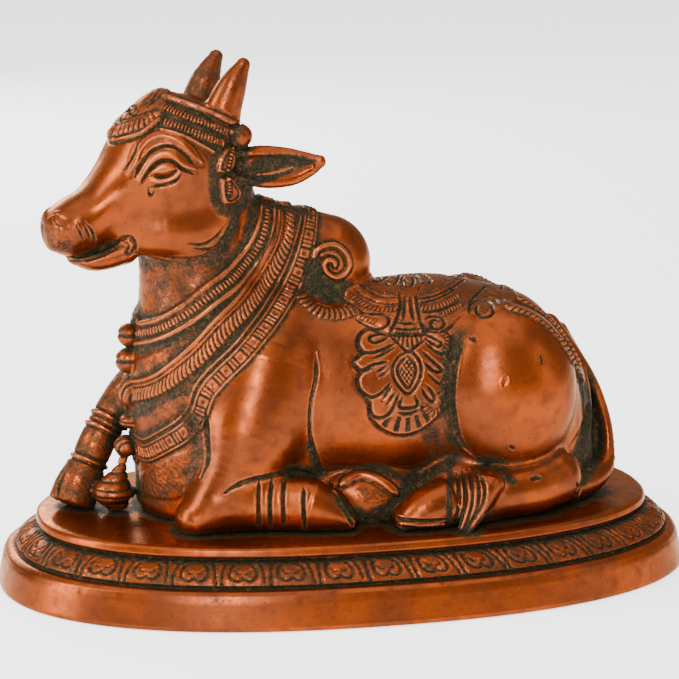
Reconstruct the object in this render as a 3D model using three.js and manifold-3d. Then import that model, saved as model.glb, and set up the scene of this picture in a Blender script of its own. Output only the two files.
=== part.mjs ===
// A cast Nandi, the seated bull of South Indian temples, on the oval plinth it is cast with.
// One closed metal body: the bull lies on the slab facing -X, one foreleg folded under it and the
// other planted in front, dressed with neck garlands, a headstall, a back cloth and a crupper.
// Millimetres, +Z up, origin under the middle of the plinth's flat underside.
import * as THREE from "three";
import { mergeVertices } from "three/addons/utils/BufferGeometryUtils.js";
import Module from "manifold-3d";

// Plinth: a superellipse in plan, stepped in from a plain foot to a leaf moulding and a top slab.
const plinthLength = 256;
const plinthWidth = 155;
const ovalPower = 2.3; // 2 is an ellipse; more is fuller at the four corners
const footHeight = 13.5;
const footShoulder = 3; // rounding at the top of the foot
const footBatter = 2; // how far the foot's wall leans in over its height
const leafBandHeight = 6.3;
const leafBandSlope = 9.5; // how far the leaf moulding steps in over its height
const leafBulge = 1.4; // how far the moulding swells out from a straight slope
const grooveWidth = 1.2;
const grooveDepth = 1.5;
const slabHeight = 3.8;
const slabRounding = 1.4;
const leafCount = 36;
const leafCut = 0.9; // depth of the cuts between leaves
const stepsPerLeaf = 2;

// Bull: its free forms are drawn for a figure of one height and scaled to the height wanted.
const figureHeight = 166; // slab to horn tips
const drawnHeight = 166;
const headTurn = 12; // degrees that the head looks to the folded leg's side

// Dress: raised work, each kind with its own width and height above the metal that carries it.
const collarWidth = 9; // upper garland, a channelled band
const collarRelief = 1.5;
const cordWidth = 3; // plain cords beside the garlands
const cordRelief = 1.1;
const blockBandWidth = 5.6; // lower garland, a row of square blocks
const blockRelief = 1.9;
const toothGap = 0.3; // height left between two teeth or blocks, as a share
const bedding = 1.2; // thickness of the metal between garlands
const headBandWidth = 4;
const headBandRelief = 1.3;
const crupperWidth = 4.4;
const crupperRelief = 1.2;
const voluteWidth = 3;
const voluteRelief = 1.6;
const clothRelief = 1.1;
const clothHemRelief = 1.9;
const clothHemWidth = 5;
const petalRelief = 2.2;
const ankletWidth = 3.2;
const ankletRelief = 1;
const rooting = 2; // how far down raised work runs into what carries it
const garlandStations = 20;
const headStations = 12;

const wasm = await Module();
wasm.setup();

// Joins and cuts

// The solid that a closed geometry bounds, whichever way round its faces were written.
function solid(geometry) {
  const points = geometry.clone();
  points.deleteAttribute("normal");
  points.deleteAttribute("uv");
  const merged = mergeVertices(points, 1e-4);
  const faces = Array.from(merged.index.array);
  const corner = (i) => new THREE.Vector3().fromBufferAttribute(merged.attributes.position, faces[i]);
  let volume = 0;
  for (let i = 0; i < faces.length; i += 3) {
    volume += corner(i).dot(corner(i + 1).cross(corner(i + 2))) / 6;
  }
  const mesh = new wasm.Mesh({
    numProp: 3,
    vertProperties: new Float32Array(merged.attributes.position.array),
    triVerts: new Uint32Array(volume < 0 ? faces.reverse() : faces),
  });
  return new wasm.Manifold(mesh);
}

function joined(solids) {
  return solids.reduce((whole, next) => whole.add(next));
}

function geometryOf(manifold) {
  const mesh = manifold.getMesh();
  const positions = new Float32Array(mesh.numVert * 3);
  for (let i = 0; i < mesh.numVert; i++) {
    positions.set(mesh.vertProperties.subarray(i * mesh.numProp, i * mesh.numProp + 3), i * 3);
  }
  const geometry = new THREE.BufferGeometry();
  geometry.setAttribute("position", new THREE.BufferAttribute(positions, 3));
  geometry.setIndex(new THREE.BufferAttribute(mesh.triVerts.slice(), 1));
  geometry.computeVertexNormals();
  return geometry;
}

// A closed skin over rings of equally many points, with a point at each end or a joined loop.
function skin(rings, { loop = false } = {}) {
  const sides = rings[0].length;
  const positions = rings.flat().flatMap((p) => [p.x, p.y, p.z]);
  const indices = [];
  const last = loop ? rings.length : rings.length - 1;
  for (let i = 0; i < last; i++) {
    for (let j = 0; j < sides; j++) {
      const a = i * sides + j;
      const b = i * sides + ((j + 1) % sides);
      const c = ((i + 1) % rings.length) * sides + j;
      const d = ((i + 1) % rings.length) * sides + ((j + 1) % sides);
      indices.push(a, b, d, a, d, c);
    }
  }
  if (!loop) {
    for (const isFirst of [true, false]) {
      const ring = isFirst ? rings[0] : rings.at(-1);
      const start = isFirst ? 0 : (rings.length - 1) * sides;
      const middle = ring.reduce((sum, p) => sum.add(p), new THREE.Vector3()).divideScalar(sides);
      const centre = positions.length / 3;
      positions.push(middle.x, middle.y, middle.z);
      for (let j = 0; j < sides; j++) {
        const a = start + j;
        const b = start + ((j + 1) % sides);
        indices.push(...(isFirst ? [centre, b, a] : [centre, a, b]));
      }
    }
  }
  const geometry = new THREE.BufferGeometry();
  geometry.setAttribute("position", new THREE.Float32BufferAttribute(positions, 3));
  geometry.setIndex(indices);
  return geometry;
}

// Free forms

const scale = figureHeight / drawnHeight;
const plinthTop = footHeight + leafBandHeight + slabHeight + 2 * grooveWidth;
const outside = 200; // drawn distance that clears the figure
const lengthways = new THREE.Vector3(1, 0, 0);
const acrossBody = new THREE.Vector3(0, 1, 0);
const upwards = new THREE.Vector3(0, 0, 1);

// From drawn points of the body, or of the head turned about the neck, to points of the part.
const bodyPlace = new THREE.Matrix4().makeTranslation(0, 0, plinthTop);
bodyPlace.scale(new THREE.Vector3(scale, scale, scale));
const neckPivot = new THREE.Vector3(-50, 0, 0);
const headPlace = bodyPlace
  .clone()
  .multiply(new THREE.Matrix4().makeTranslation(neckPivot))
  .multiply(new THREE.Matrix4().makeRotationZ(THREE.MathUtils.degToRad(headTurn)))
  .multiply(new THREE.Matrix4().makeTranslation(neckPivot.clone().negate()));

// A section of a limb: a point of its middle line, its half width across and its half depth.
const section = (x, y, z, across, deep) => ({ x, y, z, across, deep });

const mirrored = (sections) => sections.map((s) => ({ ...s, y: -s.y }));
const grown = (sections, by) =>
  sections.map((s) => ({ ...s, across: s.across + by / scale, deep: s.deep + by / scale }));

// Turn from a dome's tip at which it has a ring.
const domeTurn = 0.75;

// A limb: an oval tube through its sections, with a dome at each end. Power squares the oval, and
// taper makes its upper side wider than its lower side. Upright rings stand across the body's length.
const plainLimb = {
  sides: 8,
  domes: [1, 1],
  side: acrossBody,
  power: 2,
  taper: 0,
  upright: false,
  place: bodyPlace,
};

function limb(sections, options = {}) {
  const { sides, domes, side, power, taper, upright, place } = { ...plainLimb, ...options };
  const end = sections.length - 1;
  const points = sections.map((s) => new THREE.Vector3(s.x, s.y, s.z));
  const bow = (v) => Math.sign(v) * Math.abs(v) ** (2 / power);
  const ring = (i, size, shift) => {
    const tangent = points[Math.min(i + 1, end)].clone().sub(points[Math.max(i - 1, 0)]).normalize();
    const along = upright ? lengthways : tangent;
    const across = side.clone().addScaledVector(along, -side.dot(along)).normalize();
    const deep = new THREE.Vector3().crossVectors(along, across);
    return Array.from({ length: sides }, (_, j) => {
      const angle = (2 * Math.PI * j) / sides;
      const wide = bow(Math.cos(angle)) * (1 + taper * Math.sin(angle));
      const p = points[i].clone().addScaledVector(along, shift);
      p.addScaledVector(across, wide * sections[i].across * size);
      p.addScaledVector(deep, bow(Math.sin(angle)) * sections[i].deep * size);
      return p.applyMatrix4(place);
    });
  };
  const dome = (i, length) => {
    const reach = length * Math.min(sections[i].across, sections[i].deep);
    return length ? [ring(i, 0, reach), ring(i, Math.sin(domeTurn), reach * Math.cos(domeTurn))] : [];
  };
  const tube = points.map((_, i) => ring(i, 1, 0));
  return solid(skin([...dome(0, -domes[0]), ...tube, ...dome(end, domes[1]).reverse()]));
}

// An egg: a sphere stretched to three half sizes.
function egg({ x, y, z, long, wide, high }, place = bodyPlace) {
  const geometry = new THREE.SphereGeometry(1, 12, 7);
  geometry.scale(long, wide, high);
  geometry.translate(x, y, z);
  return solid(geometry.applyMatrix4(place));
}

// Sections of the bull, in millimetres of a figure of the drawn height, from the slab's top.

const torso = [
  section(-48, 0, 45.5, 33, 38),
  section(-20, 0, 44.5, 38.5, 38.5),
  section(8, 0, 42, 40.5, 38),
  section(32, 0, 43, 40.5, 38),
  section(56, 0, 39.5, 39, 37),
  section(70, 0, 36.5, 35, 35.5),
  section(80, 0, 32, 28.5, 29.5),
  section(89, 0, 29, 17, 19),
];
const belly = [
  section(-50, 0, 5, 34, 9),
  section(0, 0, 6, 39, 11),
  section(50, 0, 6, 40, 11),
  section(82, 0, 5, 30, 9),
];
const neck = [
  section(-52, 0, 127, 15, 16),
  section(-55, 0, 110, 17, 18.5),
  section(-54.5, 0, 91, 21, 20.5),
  section(-46.5, 0, 71, 28, 28.5),
  section(-41, 0, 50, 34, 34.5),
  section(-40, 0, 22, 35.5, 37),
  section(-42, 0, 5, 33, 35.5),
];
const hump = [
  section(-40, 0, 101, 13, 14),
  section(-23, 0, 92, 16, 18.5),
  section(-7.5, 0, 88.5, 17, 17.5),
];
const skull = [
  section(-109, 0, 106.5, 9.5, 7.4),
  section(-104, 0, 107.2, 12, 10),
  section(-97, 0, 109.4, 12.3, 11.6),
  section(-90, 0, 114.6, 13, 15.2),
  section(-84, 0, 120, 15.4, 20),
  section(-77, 0, 122.9, 18.4, 24),
  section(-67, 0, 124.8, 21.2, 26.4),
  section(-56, 0, 125.5, 21, 26),
  section(-46, 0, 125.5, 16.5, 20),
];
const jaw = [
  section(-102, 0, 95.2, 6.4, 2.6),
  section(-95, 0, 94.4, 9, 3.8),
  section(-82, 0, 97.5, 12, 6),
];
const horn = [
  section(-49.5, -10.5, 141, 6.8, 7),
  section(-48, -11.2, 148, 6.2, 6.4),
  section(-44.8, -12, 156, 4.8, 5),
  section(-41.2, -12.4, 162.6, 2.6, 2.6),
];
const ear = [
  section(-45, -15, 128, 4.5, 3.6),
  section(-37, -20.5, 127.5, 6.6, 3.1),
  section(-29, -27, 128, 5.8, 2.6),
  section(-21.5, -34, 130, 2.6, 1.7),
];
const shoulder = [
  section(-26, -15, 68, 12, 15),
  section(-30, -24, 54, 16, 19),
  section(-36, -29, 36, 14.5, 18),
  section(-45, -31, 20, 13, 15.5),
  section(-56, -32, 11, 11.5, 11.5),
];
const foldedForearm = [
  section(-57, -32.5, 10.5, 11, 11),
  section(-45, -35.5, 10, 9.6, 10.5),
  section(-33, -38, 9.5, 8.6, 10),
  section(-24, -40, 9.2, 8.2, 9.8),
];
const foldedHoof = [
  section(-22, -40, 8.8, 9, 10),
  section(-14, -41, 6, 8.6, 7.5),
  section(-8, -41.5, 2.5, 7.5, 4),
];
const plantedLeg = [
  section(-44, 29, 39, 13, 14),
  section(-59, 25.5, 43, 9.6, 10.4),
  section(-71, 21, 43.5, 7.6, 8),
  section(-80.5, 17, 38, 6.2, 6.2),
  section(-90.5, 12, 23.5, 5.2, 5.3),
  section(-95, 9.5, 14.5, 5.4, 5.6),
];
const plantedHoof = [
  section(-95.5, 9, 13.5, 6.2, 6.4),
  section(-99, 7, 8, 7, 7.4),
  section(-101.5, 5.5, 2.5, 7.2, 7.6),
];
const hindShank = [
  section(70, -34, 12, 10.5, 10.5),
  section(60, -38.5, 10, 9.5, 10),
  section(47, -42, 9, 8.3, 9.4),
  section(32, -45, 8, 7.2, 8.4),
];
const hindHoof = [
  section(27, -45.5, 8, 8.4, 9),
  section(18, -46.5, 6.2, 8.4, 7.4),
  section(10, -47, 3, 6.6, 4),
];
const tail = [
  section(78, 0, 60, 6, 5),
  section(87.5, 0, 47.5, 6, 4.6),
  section(93.5, 0, 36, 6, 4.6),
  section(97.8, -2, 22, 6, 4.8),
  section(98.5, -7, 10, 6, 5.2),
  section(90, -17, 6, 6, 6),
  section(78, -26, 5, 6, 6),
];
const tuft = [
  section(43, -38, 24, 8, 6.5),
  section(38.5, -47, 19, 8, 6),
  section(33.5, -53.5, 9, 5.4, 4.6),
  section(30, -56, 1, 3, 2.8),
];
const fold = [
  section(-11, -39, 11, 1.6, 1.8),
  section(-4, -41, 18, 2, 2.2),
  section(5, -42, 17.5, 2, 2.2),
  section(12, -42, 11, 1.6, 1.8),
];
const forehead = { x: -69, y: 0, z: 146, long: 10, wide: 9, high: 6.5 }; // brow plaque
const haunch = { x: 52, y: 25, z: 43, long: 28.5, wide: 25, high: 32.5 };

const bothSides = (sections, options) => [limb(sections, options), limb(mirrored(sections), options)];

function bareBull() {
  const head = { place: headPlace };
  return joined([
    limb(torso, { sides: 16, domes: [1, 0.2], power: 2.15, upright: true }),
    limb(belly, { domes: [0.6, 0.6] }),
    limb(neck, { sides: 12, domes: [0.4, 0.5] }),
    limb(hump, { sides: 10 }),
    limb(skull, { ...head, sides: 12, domes: [0.4, 0.6], taper: 0.12, upright: true }),
    limb(jaw, { ...head, sides: 6 }),
    ...bothSides(horn, { ...head, sides: 7 }),
    ...bothSides(ear, { ...head, sides: 6, side: upwards }),
    limb(shoulder, { sides: 10 }),
    limb(mirrored(shoulder.slice(0, 3)), { sides: 10 }),
    limb(foldedForearm),
    limb(foldedHoof, { domes: [0.3, 0.6] }),
    limb(plantedLeg),
    limb(plantedHoof, { domes: [0.4, 0.2] }),
    egg({ ...haunch, y: -haunch.y }),
    egg(haunch),
    egg(forehead, headPlace),
    ...bothSides(hindShank),
    ...bothSides(hindHoof, { domes: [0.4, 0.6] }),
    limb(tail, { sides: 7 }),
    limb(tuft, { sides: 7 }),
    limb(fold, { sides: 5 }),
  ]);
}

// Dress

const bare = bareBull();
const bareMesh = new THREE.Mesh(geometryOf(bare), new THREE.MeshBasicMaterial({ side: THREE.DoubleSide }));

// Where a ray sent in from outside first meets the bare bull, and which way is out there.
function landing(from, towards) {
  const [hit] = new THREE.Raycaster(from, towards).intersectObject(bareMesh);
  return { at: hit.point, normal: hit.face.normal.clone() };
}

// A landing at the side of the body or head, at a drawn x and z; side is 1 on the planted leg's side
// and -1 on the other.
function onSide([x, z], side, place = bodyPlace) {
  const from = new THREE.Vector3(x, side * outside, z).applyMatrix4(place);
  return landing(from, new THREE.Vector3(0, -side, 0).transformDirection(place));
}

// Adds to each landing the direction of the run and the direction across it.
function framed(landings, loop) {
  const count = landings.length;
  const within = (i) => (loop ? (i + count) % count : THREE.MathUtils.clamp(i, 0, count - 1));
  const beside = (i) => landings[within(i)];
  return landings.map(({ at, normal }, i) => {
    const along = beside(i + 1).at.clone().sub(beside(i - 1).at).normalize();
    const out = normal.clone().add(beside(i + 1).normal).add(beside(i - 1).normal);
    out.addScaledVector(along, -out.dot(along)).normalize();
    return { at, out, across: new THREE.Vector3().crossVectors(along, out) };
  });
}

// Landings all round the neck or head in a plane that stands across it through two drawn points
// [x, z].
function girdle([backX, backZ], [frontX, frontZ], stations, place = bodyPlace) {
  const back = new THREE.Vector3(backX, 0, backZ);
  const front = new THREE.Vector3(frontX, 0, frontZ);
  const middle = back.clone().lerp(front, 0.5);
  const forwards = front.clone().sub(back).normalize();
  const far = back.distanceTo(front);
  return Array.from({ length: stations }, (_, i) => {
    const angle = (2 * Math.PI * i) / stations;
    const outwards = forwards.clone().multiplyScalar(Math.cos(angle));
    outwards.addScaledVector(acrossBody, Math.sin(angle));
    const from = middle.clone().addScaledVector(outwards, far).applyMatrix4(place);
    return landing(from, outwards.negate().transformDirection(place));
  });
}

// Raised work that runs along landings. Its outline has shares of its width and heights.
function run(landings, width, outlineAt, loop = false) {
  const rings = framed(landings, loop).map(({ at, out, across }, i) =>
    outlineAt(i).map(([share, rise]) =>
      at.clone().addScaledVector(across, share * width).addScaledVector(out, rise),
    ),
  );
  return solid(skin(rings, { loop }));
}

const ridge = (relief) => () => [[-0.5, -rooting], [0, relief], [0.5, -rooting]];
const strap = (relief) => () => [[-0.5, -rooting], [-0.4, relief], [0.4, relief], [0.5, -rooting]];

// A stretched bead that lies on the metal: half sizes along its own length, across it and outwards,
// with its length turned from the drawn x axis in the side view.
function bead({ at, normal }, [long, wide, thick], turn = 0) {
  const along = new THREE.Vector3(Math.cos(turn), 0, Math.sin(turn));
  along.addScaledVector(normal, -along.dot(normal)).normalize();
  const across = new THREE.Vector3().crossVectors(normal, along);
  const geometry = new THREE.SphereGeometry(1, 7, 4);
  geometry.rotateX(Math.PI / 2);
  geometry.scale(long * scale, wide * scale, thick);
  geometry.applyMatrix4(new THREE.Matrix4().makeBasis(along, across, normal).setPosition(at));
  return solid(geometry);
}

// Garlands round the neck, from the head down: the plane that each lies in, by its ends on the nape
// and on the chest as [x, z], and its steps across, as shares of its width and of its height.
const bandSteps = [[-0.4, 1], [0.4, 1], [0.5, 0]];
const garlands = [
  {
    ends: [[-28, 109.5], [-76, 67]],
    width: collarWidth,
    relief: collarRelief,
    steps: [[-0.5, 0], [-0.4, 1], [-0.2, 0.4], [0.2, 0.8], [0.4, 1], [0.5, 0]],
    toothed: 3,
  },
  { ends: [[-22, 108], [-76.5, 56]], width: cordWidth, relief: cordRelief, steps: bandSteps },
  { ends: [[-16.5, 107], [-77, 47]], width: cordWidth, relief: cordRelief, steps: bandSteps },
  {
    ends: [[-9, 106], [-76, 20]],
    width: blockBandWidth,
    relief: blockRelief,
    steps: [[-0.5, 0], ...bandSteps],
    toothed: 2,
  },
];

// One solid that lies over the neck and carries all the garlands, ring by ring down the neck.
function neckDress() {
  const rings = garlands.flatMap(({ ends, width, relief, steps, toothed }) => {
    const [nape, chest] = ends.map(([x, z]) => new THREE.Vector2(x, z));
    const down = chest.clone().sub(nape).rotateAround(new THREE.Vector2(), Math.PI / 2).setLength(width);
    return steps.map(([share, height], step) => {
      const [back, front] = [nape, chest].map((end) => end.clone().addScaledVector(down, share).toArray());
      return framed(girdle(back, front, garlandStations), true).map(({ at, out }, i) => {
        const gap = step === toothed && i % 2 ? toothGap : 1;
        return at.clone().addScaledVector(out, bedding + relief * height * gap);
      });
    });
  });
  return solid(skin(rings));
}

const headBand = [[-42, 138], [-79, 144]];

function straps() {
  const round = girdle(...headBand, headStations, headPlace);
  return [neckDress(), run(round, headBandWidth, strap(headBandRelief), true)];
}

// Pendants down the middle of the chest, turned in one string: x, height and radius, down to a bell.
const chestString = [
  [-76, 69, 2], [-78.5, 65, 4.4], [-78, 60.5, 2], [-78.5, 55.5, 4.6], [-78, 51.5, 2.4], [-78.5, 42.5, 5.2],
  [-78.5, 36.5, 2.2], [-79.5, 33, 4.2], [-79.5, 29, 2.2], [-80.5, 24, 4.6], [-82.5, 19.5, 2.2],
  [-83.5, 16, 2.8], [-84.5, 10.5, 4.6], [-85.5, 3, 6.4],
];

function chestPendants() {
  const string = chestString.map(([x, z, radius]) => section(x, 0, z, radius, radius));
  return limb(string, { sides: 7, domes: [1, 0.2] });
}

// Back cloth: a sheet over the back, cut to an outline in the side view, with a hem that stands higher.
const clothFront = -2;
const clothBack = 60;
const clothFrontDrop = 96; // height of its lower edge in front, where it hangs lowest and at the back
const clothLowestDrop = 70;
const clothBackDrop = 88;
const clothLowest = 17; // x at which it hangs lowest
const clothFrontBow = 8; // how far behind its front edge, and before its back edge, the curve bends
const clothBackBow = 12;

function clothOutline(inset) {
  const shape = new THREE.Shape();
  const top = 2 * clothLowestDrop;
  const low = clothLowestDrop + inset;
  shape.moveTo(clothFront + inset, top);
  shape.lineTo(clothFront + inset, clothFrontDrop + inset);
  shape.quadraticCurveTo(clothFront + clothFrontBow, low, clothLowest, low);
  shape.quadraticCurveTo(clothBack - clothBackBow, low, clothBack - inset, clothBackDrop + inset);
  shape.lineTo(clothBack - inset, top);
  return shape;
}

// What an outline in the side view keeps of a solid.
function cutOut(body, shape) {
  const through = { depth: 2 * outside, bevelEnabled: false, curveSegments: 5 };
  const prism = new THREE.ExtrudeGeometry(shape, through);
  prism.rotateX(Math.PI / 2);
  prism.translate(0, outside, 0);
  return body.intersect(solid(prism.applyMatrix4(bodyPlace)));
}

function backCloth() {
  const over = (by) => limb(grown(torso.slice(1, 6), by), { sides: 16, power: 2.15, upright: true });
  const inside = cutOut(over(2 * clothHemRelief), clothOutline(clothHemWidth));
  const hem = cutOut(over(clothHemRelief), clothOutline(0)).subtract(inside);
  return [cutOut(over(clothRelief), clothOutline(0)), hem];
}

// Leaf pendant on the flank: petals round a raised lozenge. Each ring is a reach from the middle and
// a height, at a petal's middle and between two petals.
const leafMiddle = [11, 53];
const leafReach = 18;
const petalCount = 8;
const leafDroop = 1.25; // how much longer it is downwards than along the body
const leafRings = [
  { reach: [0.22, 0.22], height: [1.5, 1.5] },
  { reach: [0.34, 0.3], height: [0.3, 0.3] },
  { reach: [0.66, 0.56], height: [1, 0.35] },
  { reach: [0.9, 0.74], height: [0.7, 0.2] },
  { reach: [1, 0.8], height: [-1, -1] },
];

function leafPendant(side) {
  const [x, z] = leafMiddle;
  const rings = leafRings.map(({ reach, height }) =>
    Array.from({ length: 2 * petalCount }, (_, i) => {
      const turn = (Math.PI * i) / petalCount;
      const [far, high] = [reach[i % 2] * leafReach, height[i % 2] * petalRelief];
      const { at, normal } = onSide([x + far * Math.cos(turn), z + far * leafDroop * Math.sin(turn)], side);
      return at.addScaledVector(normal, high);
    }),
  );
  return solid(skin(rings));
}

// Volute at the side of the hump: a spiral that runs inwards.
const voluteMiddle = [-7, 89];
const voluteRadius = 9.5;
const voluteTurns = 1.25;
const voluteStart = 0.4 * Math.PI;
const voluteEye = 0.25; // its radius at the inner end, as a share of the outer one
const voluteSteps = 14;

function volute(side) {
  const landings = Array.from({ length: voluteSteps + 1 }, (_, i) => {
    const turn = voluteStart - (2 * Math.PI * voluteTurns * i) / voluteSteps;
    const radius = voluteRadius * THREE.MathUtils.lerp(1, voluteEye, i / voluteSteps);
    const [x, z] = voluteMiddle;
    return onSide([x + radius * Math.cos(turn), z + radius * Math.sin(turn)], side);
  });
  return run(landings, side * voluteWidth, ridge(voluteRelief));
}

// Crupper: a strap from the cloth's back corner over the rump to the side of the tail.
const rumpMiddle = [44, 44];
const crupperStart = { turn: 1.15, y: 20 };
const crupperEnd = { turn: 0.1, y: 11 };
const crupperSteps = 7;

function crupper(side) {
  const landings = Array.from({ length: crupperSteps + 1 }, (_, i) => {
    const turn = THREE.MathUtils.lerp(crupperStart.turn, crupperEnd.turn, i / crupperSteps);
    const y = side * THREE.MathUtils.lerp(crupperStart.y, crupperEnd.y, i / crupperSteps);
    const away = new THREE.Vector3(Math.cos(turn), 0, Math.sin(turn));
    const from = new THREE.Vector3(rumpMiddle[0], y, rumpMiddle[1]).addScaledVector(away, outside);
    return landing(from.applyMatrix4(bodyPlace), away.negate());
  });
  return run(landings, side * crupperWidth, strap(crupperRelief));
}

// Rings round the shins, as a place along a leg's sections from 0 to 1.
const anklets = [
  { leg: foldedForearm, places: [0.6, 0.85] },
  { leg: hindShank, places: [0.9] },
  { leg: plantedLeg, places: [0.86] },
];

function anklet(leg, place) {
  const at = place * (leg.length - 1);
  const i = Math.min(Math.floor(at), leg.length - 2);
  const [before, after] = [leg[i], leg[i + 1]];
  const length = new THREE.Vector3(after.x, after.y, after.z).distanceTo(before) * scale;
  const half = ankletWidth / 2 / length;
  const between = (t) => (key) => [key, THREE.MathUtils.lerp(before[key], after[key], t)];
  const ends = [at - i - half, at - i + half].map((t) =>
    Object.fromEntries(Object.keys(before).map(between(t))),
  );
  return limb(grown(ends, ankletRelief), { domes: [0, 0] });
}

// Eye, boss and ear drop at the side of the head, as [x, z] and half sizes.
const headBeads = [
  { middle: [-73, 126.5], size: [6.5, 3, 2], turn: -0.3 },
  { middle: [-43.5, 138], size: [4.6, 4.6, 4.4], turn: 0 },
  { middle: [-52, 122], size: [12, 4.4, 3.4], turn: Math.PI / 2 },
];

function headWork(side) {
  return headBeads.map(({ middle, size, turn }) => bead(onSide(middle, side, headPlace), size, turn));
}

const sideWork = (side) => [volute(side), crupper(side), leafPendant(side), ...headWork(side)];

function dress() {
  const rings = anklets.flatMap(({ leg, places }) => places.map((place) => anklet(leg, place)));
  return joined([...straps(), chestPendants(), ...backCloth(), ...rings, ...sideWork(-1), ...sideWork(1)]);
}

// Plinth

function ovalPoint(inset, angle, z) {
  const bow = (v) => Math.sign(v) * Math.abs(v) ** (2 / ovalPower);
  return new THREE.Vector3(
    (plinthLength / 2 - inset) * bow(Math.cos(angle)),
    (plinthWidth / 2 - inset) * bow(Math.sin(angle)),
    z,
  );
}

function plinth() {
  const leafStart = footHeight + grooveWidth;
  const leafEnd = leafStart + leafBandHeight;
  const slabStart = leafEnd + grooveWidth;
  const leafFoot = footBatter + footShoulder + grooveDepth;
  const slabInset = leafFoot + leafBandSlope - grooveDepth;
  const profile = [
    [0, 0, 0],
    [footBatter, footHeight - footShoulder, 0],
    [footBatter + footShoulder / 2, footHeight - footShoulder / 4, 0],
    [footBatter + footShoulder, footHeight, 0],
    [leafFoot + grooveDepth, footHeight, 0],
    [leafFoot, leafStart, 0.3],
    [leafFoot + leafBandSlope / 2 - leafBulge, leafStart + leafBandHeight / 2, 1],
    [leafFoot + leafBandSlope, leafEnd, 0.6],
    [slabInset, slabStart + slabHeight - slabRounding, 0],
    [slabInset + slabRounding, slabStart + slabHeight, 0],
  ];
  const steps = leafCount * stepsPerLeaf;
  const rings = profile.map(([inset, z, cut]) =>
    Array.from({ length: steps }, (_, j) => {
      const deeper = j % stepsPerLeaf === 0 ? leafCut * cut : 0;
      return ovalPoint(inset + deeper, (2 * Math.PI * j) / steps, z);
    }),
  );
  return solid(skin(rings));
}

const whole = joined([plinth(), bare, dress()]);
const castMetal = new THREE.MeshStandardMaterial({ color: 0x9c4a22, roughness: 0.35, metalness: 0.6 });
const nandi = new THREE.Mesh(geometryOf(whole), castMetal);
nandi.name = "nandi_and_plinth";

const part = new THREE.Group();
part.add(nandi);

export default part;
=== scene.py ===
# A cast Nandi on its oval plinth, in copper-brown lacquered brass: its surface, chasing and patina.
# The bull is worked out as one smooth body from limbs with oval sections, skinned with a mesh, and
# chased by moving the skin in and out. Drawing sizes are millimetres; the meshes are in metres.
from functools import partial
import math

import bpy
import numpy as np
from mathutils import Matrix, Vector
from mathutils.bvhtree import BVHTree
from mathutils.geometry import tessellate_polygon


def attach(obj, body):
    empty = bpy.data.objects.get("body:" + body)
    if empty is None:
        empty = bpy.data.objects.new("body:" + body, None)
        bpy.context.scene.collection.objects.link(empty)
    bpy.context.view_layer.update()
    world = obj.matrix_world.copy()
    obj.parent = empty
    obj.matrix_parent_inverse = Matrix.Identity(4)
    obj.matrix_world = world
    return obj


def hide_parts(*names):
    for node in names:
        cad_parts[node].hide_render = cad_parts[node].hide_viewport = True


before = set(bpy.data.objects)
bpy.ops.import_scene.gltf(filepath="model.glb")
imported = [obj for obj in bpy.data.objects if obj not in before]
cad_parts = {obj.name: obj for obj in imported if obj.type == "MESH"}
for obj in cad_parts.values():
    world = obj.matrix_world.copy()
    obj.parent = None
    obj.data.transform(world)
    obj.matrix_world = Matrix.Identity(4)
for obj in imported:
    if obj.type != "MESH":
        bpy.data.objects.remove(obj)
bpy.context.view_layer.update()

MM = 0.001
TURN = 2 * np.pi
PLINTH_TOP = 26.0
# A distance past all that is measured, and how far a form's box stands out from its skin.
FAR = 60.0
BOX_MARGIN = 8
HEAD_TURN = math.radians(12)
NECK_PIVOT = np.array([-50.0, 0.0, 0.0])


# Numbers and arrays

def points_of(text):
    """Points written as numbers with commas between them, and a blank between points."""
    return [tuple(float(number) for number in point.split(",")) for point in text.split()]


def lines_of(text):
    """Runs of points, with a semicolon between runs."""
    return [points_of(run) for run in text.split(";")]


def smoothstep(low, high, value):
    t = np.clip((value - low) / (high - low), 0, 1)
    return t * t * (3 - 2 * t)


def bump(distance, half):
    """A round-topped ridge: 1 in the middle, 0 from half on."""
    t = np.clip(1 - (distance / half) ** 2, 0, 1)
    return t * t * (3 - 2 * t)


def length_of(vectors):
    return np.sqrt(np.einsum("...i,...i->...", vectors, vectors))


def unit(vectors):
    return vectors / np.maximum(length_of(vectors), 1e-9)[..., None]


def turned(points, angle):
    """Points turned about the neck's pivot, seen from above."""
    c, s = math.cos(angle), math.sin(angle)
    moved = points - NECK_PIVOT
    x = c * moved[..., 0] - s * moved[..., 1]
    y = s * moved[..., 0] + c * moved[..., 1]
    return np.stack([x, y, moved[..., 2]], -1) + NECK_PIVOT


def to_head(points):
    return turned(points, -HEAD_TURN)


def smooth_union(a, b, radius):
    h = np.clip(0.5 + 0.5 * (b - a) / radius, 0, 1)
    return a * h + b * (1 - h) - radius * h * (1 - h)


# Large numbers that scatter a cell's place and a seed into a random value.
SCATTER = (73856093, 19349663, 83492791)
SEED_SCATTER = 2654435
MIXER = 1274126177
CELL_SHIFT = 71.3


def noise(points, size, seed):
    """Soft random values from -1 to 1 with blobs of a size in millimetres."""
    p = points / size + CELL_SHIFT
    cell = np.floor(p).astype(np.int64)
    part = smoothstep(0, 1, p - cell)
    value = np.zeros(len(points))
    for corner in np.ndindex(2, 2, 2):
        i, j, k = ((cell + corner) * SCATTER).T
        mixed = i ^ j ^ k ^ (seed * SEED_SCATTER)
        mixed = (mixed ^ (mixed >> 13)) * MIXER & 0x7FFFFFFF
        share = np.where(corner, part, 1 - part).prod(1)
        value += share * ((mixed ^ (mixed >> 16)) % 65536 / 32767.5 - 1)
    return value


# Limbs: sections are (x, y, z, half across, half deep), heights from the slab

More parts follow.
